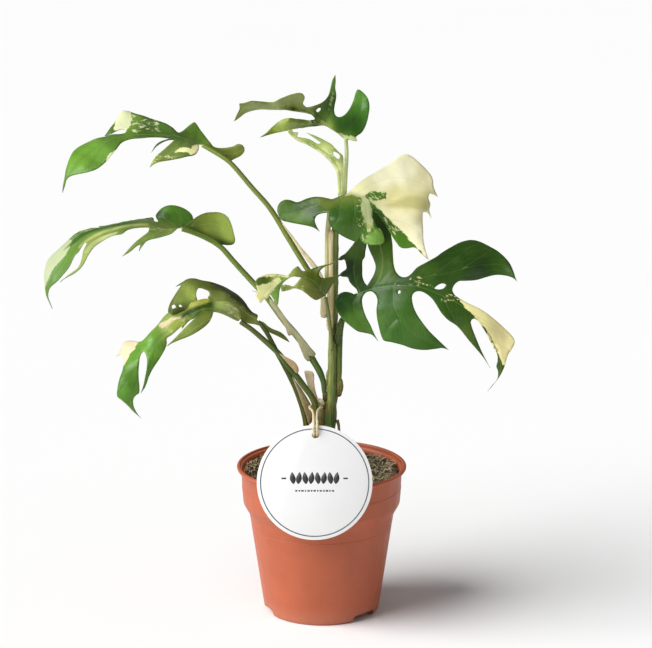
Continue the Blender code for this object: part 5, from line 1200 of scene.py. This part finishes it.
def stalk(name, route, radii, tones, seed):
    """A tapering stalk with gently uneven sides."""
    points = through(route, 8)
    line = sighted(points[:, 0], points[:, 2], points[:, 1])
    share = np.linspace(0, 1, len(line))
    widths = np.interp(share, np.linspace(0, 1, len(radii)), radii)
    if name == "main_stem":
        for height in (163.0, 187.0, 214.0, 238.0, 262.0, 292.0):
            widths = widths + 0.4 * np.exp(-((points[:, 2] - height) / 1.6) ** 2)
        widths = widths + 1.0 * np.exp(-((points[:, 2] - 142) / 7) ** 2)
    widths = widths * (1.06 + 0.05 * rolling(line / MM, 5.0, seed))
    sides = 20
    thing = tube(name, line, widths, sides)
    if name == "main_stem":
        colour = blended(np.array([(v.co.x, v.co.z) for v in thing.data.vertices]) / MM, tones)
    else:
        colour = np.repeat(graded(share, tones), sides, axis=0)
    # Painted light and shade: the tone is made lighter on the stalk's left side, where the key
    # light falls, and darker on its right.
    painted_side_light = mesh_normals(thing)[:, 0] * -0.25 + 0.95
    write(thing, "tone", colour * painted_side_light[:, None], "FLOAT_COLOR")
    return thing


# ---------------------------------------------------------------- pot, soil, card, twine


def swelling(centre, size, tilt, tones, name):
    """A bud or collar on the stem: a ball drawn out and roughened."""
    deselect()
    bpy.ops.mesh.primitive_uv_sphere_add(segments=32, ring_count=22, radius=MM)
    ball = bpy.context.object
    ball.scale = size
    ball.rotation_euler = (0.0, math.radians(tilt), 0.0)
    ball.location = centre
    bpy.ops.object.transform_apply(location=True, rotation=True, scale=True)
    bpy.ops.object.shade_smooth()
    roughen(ball, 500.0, 0.0005)
    points = np.array([tuple(vert.co) for vert in ball.data.vertices]) / MM
    low, high = points[:, 2].min(), points[:, 2].max()
    share = ((points[:, 2] - low) / (high - low))[:, None]
    foot, top = (np.array(linear(*tone)) for tone in tones)
    write(ball, "tone", foot * (1 - share) + top * share, "FLOAT_COLOR")
    write(ball, "grain", points, "FLOAT_VECTOR")
    ball.name = name
    return ball


def rounded(profile, radius, steps=4):
    """The same profile with its inner corners rounded."""
    corners = [np.array(p, float) for p in profile]
    found = [corners[0]]
    for before, here, after in zip(corners, corners[1:], corners[2:]):
        back, ahead = before - here, after - here
        room = min(np.linalg.norm(back), np.linalg.norm(ahead)) * 0.45
        size = min(radius, room)
        start = here + back / np.linalg.norm(back) * size
        end = here + ahead / np.linalg.norm(ahead) * size
        for t in np.arange(steps + 1) / steps:
            found.append((1 - t) ** 2 * start + 2 * t * (1 - t) * here + t**2 * end)
    return found + [corners[-1]]


def outward():
    """Turns the faces of the mesh being edited outwards, and ends the editing."""
    bpy.ops.mesh.select_all(action="SELECT")
    bpy.ops.mesh.normals_make_consistent(inside=False)
    bpy.ops.object.mode_set(mode="OBJECT")


def lathed(name, profile, steps):
    """A profile of (radius, height) turned round the upright axis."""
    mesh = bpy.data.meshes.new(name)
    edges = [(n, n + 1) for n in range(len(profile) - 1)]
    mesh.from_pydata([(r * MM, 0.0, z * MM) for r, z in profile], edges, [])
    thing = bpy.data.objects.new(name, mesh)
    bpy.context.scene.collection.objects.link(thing)
    modify(thing, "SCREW", steps=steps, render_steps=steps, use_merge_vertices=True,
           merge_threshold=0.00001)
    only(thing)
    bpy.ops.object.mode_set(mode="EDIT")
    bpy.ops.mesh.select_all(action="SELECT")
    bpy.ops.mesh.remove_doubles(threshold=0.000005)
    outward()
    bpy.ops.object.shade_smooth_by_angle(angle=math.radians(38))
    return thing


def carve(thing, tool):
    """Cuts the tool out of the thing and clears it away."""
    modify(thing, "BOOLEAN", operation="DIFFERENCE", object=tool, solver="EXACT")
    bpy.data.objects.remove(tool, do_unlink=True)


def on_card(x, rise, out):
    """A place beside the leaning card: so far up it from its middle, and so far in front of it."""
    lean = math.radians(TAG_LEAN)
    return (TAG_CENTRE[0] + x, TAG_CENTRE[1] + rise * math.sin(lean) - out * math.cos(lean),
            TAG_CENTRE[2] + rise * math.cos(lean) + out * math.sin(lean))


# ---------------------------------------------------------------- settings


def amount(name, text, default, **limits):
    return FloatProperty(name=name, description=text, default=default, **limits)


def colour_setting(name, text, default):
    return FloatVectorProperty(name=name, description=text, default=default, subtype="COLOR",
                               min=0.0, max=2.0)


class MonsteraPlantSettings(bpy.types.PropertyGroup):
    cell: amount("Detail", "Width of a blade's triangles, in millimetres", 1.35, min=0.8, max=4.0)
    blade_thickness: amount("Blade thickness", "Thickness of a leaf blade", 0.00045, min=0.0002,
                            max=0.001, unit="LENGTH")
    vein_depth: amount("Vein depth", "How deep the veins lie, in millimetres", 0.22, min=0.0,
                       max=1.0)
    tint: colour_setting("Green tint", "Multiplies the green of the leaves", (0.82, 0.85, 0.54))
    cream_tint: colour_setting("Cream tint", "Multiplies the cream of the leaves",
                               (1.0, 1.0, 0.92))


class MonsteraPotSettings(bpy.types.PropertyGroup):
    colour: colour_setting("Pot colour", "Moulded plastic of the pot", (0.45, 0.108, 0.047))
    roughness: amount("Pot roughness", "Roughness of the plastic", 0.42, min=0.0, max=1.0,
                      subtype="FACTOR")
    steps: IntProperty(name="Pot sides", description="Steps round the pot", default=144, min=24)
    soil: colour_setting("Soil colour", "Damp crumbs of the soil", (0.048, 0.034, 0.018))
    fibre: colour_setting("Fibre colour", "Coir fibres in the soil", (0.62, 0.50, 0.31))


class MonsteraTagSettings(bpy.types.PropertyGroup):
    card: colour_setting("Card colour", "Face of the card", (0.88, 0.885, 0.88))
    ink: colour_setting("Ink colour", "Dark print on the card", (0.022, 0.022, 0.026))
    ring: colour_setting("Ring colour", "Fine ring near the card's edge", (0.055, 0.065, 0.085))


class MonsteraTwineSettings(bpy.types.PropertyGroup):
    radius: amount("Twine radius", "Half the twine's thickness", 0.001, min=0.0005, max=0.002,
                   unit="LENGTH")
    lay: amount("Twist", "Turns of the twine in each millimetre", 0.16, min=0.0, max=0.5)
    colour: colour_setting("Twine colour", "Jute fibres", (0.86, 0.64, 0.40))


class MonsteraStageSettings(bpy.types.PropertyGroup):
    floor: colour_setting("Floor colour", "Plain pale floor", (0.92, 0.92, 0.92))
    key: amount("Key light", "Strength of the light from the left", 4.3, min=0.0)
    fill: amount("Fill light", "Strength of the light from the right", 0.12, min=0.0)
    sky: amount("Surround", "Brightness of the white room", 0.20, min=0.0)


# ---------------------------------------------------------------- operators


class MONSTERA_OT_stage(bpy.types.Operator):
    """Set up the camera, the lights and a pale floor"""

    bl_idname = "monstera.stage"
    bl_label = "Stage"

    def execute(self, context):
        setting = context.scene.monstera_stage
        deselect()
        bpy.ops.object.camera_add(location=(0.0031, -1.8394, 0.6777),
                                  rotation=(math.radians(75.7), 0.0, 0.0))
        camera = context.object
        camera.data.lens = 150.0
        camera.data.sensor_width = 36.0
        context.scene.camera = camera
        for name, turn, strength, spread in (("key", (50, 0, -69), setting.key, 52),
                                             ("fill", (62, 0, 58), setting.fill, 60)):
            bpy.ops.object.light_add(type="SUN", rotation=[math.radians(angle) for angle in turn])
            light = context.object
            light.name = name
            light.data.energy = strength
            light.data.angle = math.radians(spread)
        world = bpy.data.worlds.new("studio")
        world.use_nodes = True
        room = world.node_tree.nodes["Background"]
        room.inputs["Color"].default_value = (1.0, 1.0, 1.0, 1.0)
        room.inputs["Strength"].default_value = setting.sky
        context.scene.world = world
        context.scene.view_settings.view_transform = "Standard"
        bpy.ops.mesh.primitive_circle_add(vertices=96, radius=60.0, fill_type="NGON")
        floor = context.object
        floor.name = "floor"
        paint = Finish("floor", roughness=0.9)
        cloud = paint.noise(paint.place(), 3.0, 2.0)
        floor.data.materials.append(paint.feed(Base_Color=paint.mix(
            cloud, scaled(setting.floor, 0.985), tuple(setting.floor))))
        return {"FINISHED"}


class MONSTERA_OT_twine(bpy.types.Operator):
    """Lay the twine from the card's hole round the stalks and back, and tie its knot"""

    bl_idname = "monstera.twine"
    bl_label = "Twine"

    def execute(self, context):
        setting = context.scene.monstera_twine
        make = Finish("twine", roughness=0.9)
        grain = make.attribute("grain", "Vector")
        strand = make.noise(make.stretched(grain, 1.0, 1.0, 0.3), 2.4, 4.0, 0.7)
        make.feed(Base_Color=make.mix(make.between(strand, 0.32, 0.68),
                                      scaled(setting.colour, 0.55),
                                      tuple(min(c, 0.9) for c in scaled(setting.colour, 1.3))),
                  Normal=make.bump(strand, 0.35, 0.9))
        half = TWINE_GAP / 2
        hole = TAG_HOLE_HEIGHT
        rises = [(hole - 0.4, -1.9), (hole + 0.1, -0.8), (hole + 0.9, 0.9), (hole + 3.0, 1.9),
                 (TAG_RADIUS + 0.1, 2.0), (TAG_RADIUS + 1.9, 0.8), (TAG_RADIUS + 2.0, -1.6)]
        left = [on_card(TAG_HOLE_X - half, *rise) for rise in rises]
        right = [on_card(TAG_HOLE_X + half, *rise) for rise in rises[::-1]]
        loop = [(-5.4, -42.0, 152.2), (-5.6, -30.0, 151.4), (-6.2, -18.0, 150.6),
                (-7.7, -10.0, 150.1), (-8.4, -5.4, 149.9), (-7.3, -2.3, 149.9),
                (-4.6, -1.0, 149.9), (-1.9, -2.3, 149.9), (-0.8, -5.4, 149.9),
                (-1.5, -10.0, 150.1), (-2.7, -18.0, 150.6), (-3.0, -30.0, 151.4),
                (-3.2, -42.0, 152.2)]
        path = through(left + loop + right, 12) * MM
        radius = setting.radius / MM
        cord = tube("tag_twine", path, np.full(len(path), radius), 18, 3, 0.24, setting.lay)
        settle(cord, "tag_twine", "twine", [make.material], "twine")

        # The knot: one turn of the same twine wound over itself
        turns = np.linspace(0, 1, 90)
        wind = turns * math.tau * 2.25
        knot_path = np.stack([1.75 * np.sin(wind) + 0.5 * np.sin(wind * 2.1),
                              1.15 * np.cos(wind * 1.5), 1.15 * np.sin(wind * 1.5 + 0.6)], 1)
        centre = np.array(on_card(TAG_HOLE_X, hole - 1.1, -4.4))
        knot = tube("tag_knot", (centre + knot_path) * MM, np.full(90, radius), 14, 3, 0.24,
                    setting.lay)
        settle(knot, "tag_knot", "twine", [make.material], "twine_knot")
        return {"FINISHED"}


class MONSTERA_OT_pot(bpy.types.Operator):
    """Turn the nursery pot and cut its drain openings"""

    bl_idname = "monstera.pot"
    bl_label = "Pot"

    def execute(self, context):
        setting = context.scene.monstera_pot
        outside = [(58.2, 106.6), (59.2, 106.5), (59.9, 105.9), (60.0, 105.0), (59.6, 104.2),
                   (58.6, 103.7), (56.9, 103.0), (56.3, 91.6), (56.5, 91.2), (55.5, 79.5),
                   (51.3, 72.0), (50.2, 64.6), (49.8, 64.2), (50.0, 63.4), (41.5, 5.0),
                   (40.8, 1.2), (39.4, 0.0), (37.8, 0.0), (37.2, 4.4), (10.0, 4.4), (9.0, 0.0),
                   (0.0, 0.0)]
        within = [(0.0, 6.0), (38.4, 6.0), (40.0, 8.0), (49.7, 72.6), (53.9, 80.1),
                  (55.2, 103.0), (57.1, 104.8), (57.4, 106.0), (57.9, 106.6)]
        profile = rounded(outside, 0.8) + rounded(within, 0.8)
        pot = lathed("pot_shell", profile, setting.steps)
        only(pot)
        bpy.ops.object.mode_set(mode="EDIT")
        bpy.ops.mesh.select_all(action="DESELECT")
        bpy.ops.mesh.select_non_manifold()
        bpy.ops.mesh.bridge_edge_loops()
        outward()
        for angle in (48.0, 168.0, 288.0):
            turn = math.radians(angle)
            deselect()
            bpy.ops.mesh.primitive_cube_add(
                size=1.0, location=(math.sin(turn) * 0.0395, -math.cos(turn) * 0.0395, 0.0))
            notch = context.object
            notch.scale = (0.022, 0.010, 0.010)
            bpy.ops.object.transform_apply(location=False, rotation=False, scale=True)
            notch.rotation_euler = (0.0, 0.0, turn)
            weights = notch.data.attributes.new("bevel_weight_edge", "FLOAT", "EDGE")
            for edge in notch.data.edges:
                ends = [notch.data.vertices[n].co for n in edge.vertices]
                if abs(ends[0].y - ends[1].y) > 0.005:
                    weights.data[edge.index].value = 1.0
            modify(notch, "BEVEL", width=0.0032, segments=6, limit_method="WEIGHT")
            carve(pot, notch)
        for number in range(6):
            turn = math.radians(48.0 + number * 60.0)
            deselect()
            bpy.ops.mesh.primitive_cylinder_add(
                vertices=32, radius=0.0035, depth=0.008,
                location=(math.sin(turn) * 0.027, -math.cos(turn) * 0.027, 0.0052))
            carve(pot, context.object)
        only(pot)
        bpy.ops.object.shade_smooth_by_angle(angle=math.radians(32))
        make = Finish("pot", roughness=setting.roughness, ior=1.46, specular_ior_level=0.4)
        place = make.place()
        cloud = make.noise(place, 34.0, 4.0, 0.6)
        speck = make.noise(place, 900.0, 2.0, 0.5)
        scuff = make.noise(make.stretched(place, 1.0, 1.0, 0.25), 160.0, 4.0, 0.7)
        dust = make.between(make.part(place, "Z"), 0.0, 0.016, 0.22, 0.0) * scuff
        colour = make.mix(make.between(cloud, 0.3, 0.7), scaled(setting.colour, 0.93),
                          scaled(setting.colour, 1.06))
        colour = make.mix(dust, colour, linear(206, 176, 150))
        rough = make.between(scuff + cloud * 0.3, 0.4, 0.9, setting.roughness - 0.05,
                             setting.roughness + 0.14)
        make.feed(Base_Color=colour, Roughness=rough,
                  Normal=make.bump(speck * 0.5 + scuff * 0.5, 0.05, 0.5))
        settle(pot, "pot_shell", "pot", [make.material], "pot")
        return {"FINISHED"}


class MONSTERA_OT_soil(bpy.types.Operator):
    """Heap the potting soil, with its bark, fibres and moss"""

    bl_idname = "monstera.soil"
    bl_label = "Soil"

    def execute(self, context):
        setting = context.scene.monstera_pot
        random.seed(11)
        bank = [(0, 96.0), (18, 96.0), (36, 98.0), (50, 100.6), (54.2, 101.4)]
        radii, heights = zip(*bank)
        top = [(r, np.interp(r, radii, heights)) for r in np.arange(0.0, 54.0, 1.1)]
        wall = [(54.4, 99.4), (53.4, 80.4), (49.2, 73.0), (39.6, 8.6), (38.0, 6.4), (0.0, 6.4)]
        edge = 53.6  # as far out as a fibre reaches

        def piled(x, y):
            """How much the soil is heaped up at the left and the right."""
            return 1.6 * math.exp(-((abs(x) - 48) / 9) ** 2 - (y / 30) ** 2)

        soil = lathed("potting_soil", top + wall, 150)
        for vert in soil.data.vertices:
            point = vert.co / MM
            out = math.hypot(point.x, point.y)
            if point.z > 94.8 and out < 53.9:
                rise = (noise.noise(point / 9.0) * 1.6 + noise.noise(point / 3.0) * 1.1
                        + noise.noise(point / 1.3) * 0.7)
                vert.co.z += (rise * min(1.0, (54.6 - out) / 2) + piled(point.x, point.y)) * MM
        crumb = Finish("soil", roughness=0.95)
        place = crumb.place()
        grains = crumb.cells(place, 420.0)
        clump = crumb.noise(place, 130.0, 4.0, 0.7)
        dark = tuple(setting.soil)
        crumb.feed(Base_Color=crumb.mix(crumb.between(clump, 0.45, 0.68), dark, scaled(dark, 3.6)),
                   Normal=crumb.bump(clump + grains, 1.2, 1.0))
        straw = Finish("fibre", roughness=0.8)
        tint = straw.noise(straw.place(), 90.0, 2.0)
        straw.feed(Base_Color=straw.mix(straw.between(tint, 0.35, 0.65),
                                        scaled(setting.fibre, 0.45), scaled(setting.fibre, 1.15)))
        moss = Finish("moss", roughness=0.85)
        shade = moss.noise(moss.place(), 110.0, 2.0)
        moss.feed(Base_Color=moss.mix(shade, linear(104, 112, 62), linear(176, 178, 122)))
        pieces = {"fibre": [], "bark": [], "moss": []}
        hairs = {"fibre": [], "moss": []}

        def anywhere(most):
            turn, out = random.uniform(0, math.tau), most * math.sqrt(random.random())
            return out * math.cos(turn), out * math.sin(turn)

        for _ in range(900):
            x, y = anywhere(53.5)
            kind = "moss" if random.random() < 0.3 else "fibre"
            turn, size = random.uniform(0, math.tau), random.uniform(2.5, 8.0)
            lift = random.uniform(0.2, 2.2)
            route = []
            for t in (0.0, 0.25, 0.5, 0.75, 1.0):
                turn += random.uniform(-0.5, 0.5)
                px = x + math.cos(turn) * size * (t - 0.5)
                py = y + math.sin(turn) * size * (t - 0.5)
                out = math.hypot(px, py)
                if out > edge:
                    px, py = px * edge / out, py * edge / out
                base = np.interp(min(out, edge), radii, heights) + 0.4 + piled(px, py)
                route.append((px, py,
                              base + lift * math.sin(t * math.pi) + random.uniform(0, 1.0)))
            line = through(route, 3) * MM
            width = random.uniform(0.16, 0.42)
            taper = np.interp(np.linspace(0, 1, len(line)), [0, 0.5, 1], [0.5, 1, 0.4])
            hairs[kind].append(tube_skin(line, width * taper, 5))
        for kind, skins in hairs.items():
            points, faces = [], []
            for skin, rings, _ in skins:
                faces += [tuple(n + len(points) for n in face) for face in rings]
                points += skin
            pieces[kind].append(mesh_piece(kind, points, faces))
        for _ in range(150):
            x, y = anywhere(51.0)
            base = np.interp(math.hypot(x, y), radii, heights) + 0.4
            deselect()
            bpy.ops.mesh.primitive_ico_sphere_add(
                subdivisions=2, radius=MM, location=(x * MM, y * MM, (base + 0.2) * MM),
                rotation=[random.uniform(0, 3) for _ in range(3)])
            chip = context.object
            chip.scale = (random.uniform(0.7, 2.3), random.uniform(0.6, 1.5),
                          random.uniform(0.3, 0.8))
            bpy.ops.object.transform_apply(location=True, rotation=True, scale=True)
            roughen(chip, 900.0, 0.0004)
            pieces["bark"].append(chip)
        for kind, finish in (("fibre", straw), ("bark", crumb), ("moss", moss)):
            for piece in pieces[kind]:
                piece.data.materials.append(finish.material)
        soil.data.materials.append(crumb.material)
        soil = join("potting_soil", [soil, *pieces["fibre"], *pieces["bark"], *pieces["moss"]])
        settle(soil, "potting_soil", "soil", [], "soil")
        return {"FINISHED"}


def flat_mark(loop, height, finish):
    """A raised patch of print on the card's face, while the card lies flat."""
    mark = mesh_piece("mark", [(x * MM, y * MM, height * MM) for x, y in loop],
                      [tuple(range(len(loop)))])
    modify(mark, "SOLIDIFY", thickness=PRINT_THICKNESS * MM, offset=-1.0)
    mark.data.materials.append(finish)
    return mark

def bar(x, y, half):
    """The corners of a short flat bar."""
    return [(x - half, y - 0.55), (x + half, y - 0.55), (x + half, y + 0.55), (x - half, y + 0.55)]
class MONSTERA_OT_tag(bpy.types.Operator):
    """Cut the round card, print it and lean it on the pot"""

    bl_idname = "monstera.tag"
    bl_label = "Tag"

    def execute(self, context):
        setting = context.scene.monstera_tag
        paper = Finish("card", roughness=0.6)
        place = paper.place()
        pulp = paper.noise(place, 700.0, 4.0, 0.6)
        cloud = paper.noise(place, 40.0, 3.0)
        paper.feed(Base_Color=paper.mix(cloud, scaled(setting.card, 0.97), tuple(setting.card)),
                   Normal=paper.bump(pulp, 0.03, 0.4))
        ink, ring = Finish("ink", roughness=0.5), Finish("ring", roughness=0.5)
        for dye, colour in ((ink, setting.ink), (ring, setting.ring)):
            blot = dye.noise(dye.place(), 900.0, 2.0)
            dye.feed(Base_Color=dye.mix(blot, tuple(colour), scaled(colour, 1.5)))
        deselect()
        bpy.ops.mesh.primitive_cylinder_add(vertices=180, radius=TAG_RADIUS * MM,
                                            depth=TAG_THICKNESS * MM)
        tag = context.object
        modify(tag, "BEVEL", width=0.00012, segments=2, limit_method="ANGLE")
        deselect()
        bpy.ops.mesh.primitive_cylinder_add(
            vertices=48, radius=TAG_HOLE_RADIUS * MM, depth=0.008,
            location=(TAG_HOLE_X * MM, TAG_HOLE_HEIGHT * MM, 0.0))
        carve(tag, context.object)
        only(tag)
        bpy.ops.object.shade_smooth_by_angle(angle=math.radians(32))
        tag.data.materials.append(paper.material)
        top = TAG_THICKNESS / 2 + PRINT_THICKNESS
        sides = 180
        turns = np.arange(sides) * math.tau / sides
        rim = [(r * math.cos(a) * MM, r * math.sin(a) * MM, top * MM)
               for r in (37.5, 36.8) for a in turns]
        band = mesh_piece("mark", rim, [(n, (n + 1) % sides, sides + (n + 1) % sides, sides + n)
                                        for n in range(sides)])
        bpy.ops.object.mode_set(mode="EDIT")
        outward()
        modify(band, "SOLIDIFY", thickness=PRINT_THICKNESS * MM, offset=0.0)
        band.data.materials.append(ring.material)
        # A row of upright leaves between two dashes, and a fine broken line under it
        shapes = []
        for number in range(8):
            middle, wide, tall = (number - 3.5) * 4.3, 1.75, 4.2
            lean = 0.5 if number % 2 else -0.5
            rise = np.linspace(-1, 1, 15)
            body = wide * np.cos(rise * math.pi / 2) ** 0.8 * (1.12 - 0.25 * rise)
            right, left = ([(middle + lean * t + w * side, 3.2 + tall * t)
                            for t, w in zip(rise, body)] for side in (1, -1))
            shapes.append(right + left[-2:0:-1])
        shapes += [bar(side * 21.2, 3.0, 1.6) for side in (-1, 1)]
        shapes += [bar((number - 6) * 2.1, -5.6, (0.75, 0.55, 0.85, 0.45)[number % 4])
                   for number in range(13)]
        marks = [band] + [flat_mark(shape, top, ink.material) for shape in shapes]
        tag = join("hanging_tag", [tag, *marks])
        lean = math.radians(90.0 - TAG_LEAN)
        tag.matrix_world = (Matrix.Translation(Vector(TAG_CENTRE) * MM)
                            @ Matrix.Rotation(lean, 4, "X"))
        settle(tag, "hanging_tag", "card", [], "tag")
        return {"FINISHED"}


class MONSTERA_OT_stalks(bpy.types.Operator):
    """Grow the stem, the leaf stalks, the bud and the aerial root"""

    bl_idname = "monstera.stalks"
    bl_label = "Stalks"

    def execute(self, context):
        material = stalk_finish("stalk")
        for number, (name, plan) in enumerate(STALKS.items()):
            thing = stalk(name, *plan, number * 3.7)
            if name == "main_stem":
                # The old foot of the stem, where the lowest leaf stalks part from it
                collars = [swelling(sighted(*place), size, tilt, tones, "collar")
                           for place, size, tilt, *tones in COLLARS]
                thing = join(thing.name, [thing, *collars])
            settle(thing, "green_" + name, "stalk", [material], name)
        bud = swelling(sighted(12.6, 163.0, 0.0), (2.6, 2.6, 7.2), 4.0,
                       ((96, 82, 40), (132, 126, 66)), "bud")
        settle(bud, "green_bud", "stalk", [material], "stem_bud")
        return {"FINISHED"}


class MONSTERA_OT_sheaths(bpy.types.Operator):
    """Wrap the dry and green sheaths round the stalks' feet"""

    bl_idname = "monstera.sheaths"
    bl_label = "Sheaths"

    def execute(self, context):
        dry, green = sheath_finish("sheath"), stalk_finish("green_sheath")
        for number, (name, plan) in enumerate(SHEATHS.items()):
            thing = dry_sheet(name, *plan, number * 5.3)
            slot, finish = (("green_sheath", green) if name == "sheath_right"
                            else ("dry_sheath", dry))
            settle(thing, "papery_" + name, slot, [finish], name)
        return {"FINISHED"}


class MONSTERA_OT_leaves(bpy.types.Operator):
    """Unfold the variegated leaves"""

    bl_idname = "monstera.leaves"
    bl_label = "Leaves"

    def execute(self, context):
        material = leaf_finish("leaf")
        for number, (name, plan) in enumerate(LEAVES.items()):
            settle(leaf(name, plan, number * 11.0), "blade_" + name, "leaf", [material], name)
        return {"FINISHED"}


class MONSTERA_PT_panel(bpy.types.Panel):
    """Sizes, colours and the steps that build the plant"""

    bl_idname = "MONSTERA_PT_panel"
    bl_label = "Potted Mini Monstera"
    bl_space_type = "VIEW_3D"
    bl_region_type = "UI"
    bl_category = "Monstera"

    def draw(self, context):
        for key, group in SETTINGS.items():
            box = self.layout.box()
            for name in group.__annotations__:
                box.prop(getattr(context.scene, key), name)
        for operator in OPERATORS:
            self.layout.operator(operator.bl_idname)


SETTINGS = {
    "monstera_stage": MonsteraStageSettings,
    "monstera_plant": MonsteraPlantSettings,
    "monstera_pot": MonsteraPotSettings,
    "monstera_tag": MonsteraTagSettings,
    "monstera_twine": MonsteraTwineSettings,
}
OPERATORS = (MONSTERA_OT_stage, MONSTERA_OT_twine, MONSTERA_OT_pot, MONSTERA_OT_soil,
             MONSTERA_OT_tag, MONSTERA_OT_stalks, MONSTERA_OT_sheaths, MONSTERA_OT_leaves)


def register():
    for key, group in SETTINGS.items():
        bpy.utils.register_class(group)
        setattr(bpy.types.Scene, key, PointerProperty(type=group))
    for operator in (*OPERATORS, MONSTERA_PT_panel):
        bpy.utils.register_class(operator)


def unregister():
    for operator in (MONSTERA_PT_panel, *OPERATORS[::-1]):
        bpy.utils.unregister_class(operator)
    for key, group in SETTINGS.items():
        delattr(bpy.types.Scene, key)
        bpy.utils.unregister_class(group)


def main():
    register()
    deselect()
    for operator in OPERATORS:
        step = getattr(bpy.ops.monstera, operator.bl_idname.split(".")[1])
        if step() != {"FINISHED"}:
            raise RuntimeError(f"{operator.bl_label} did not finish")


if __name__ == "__main__":
    main()
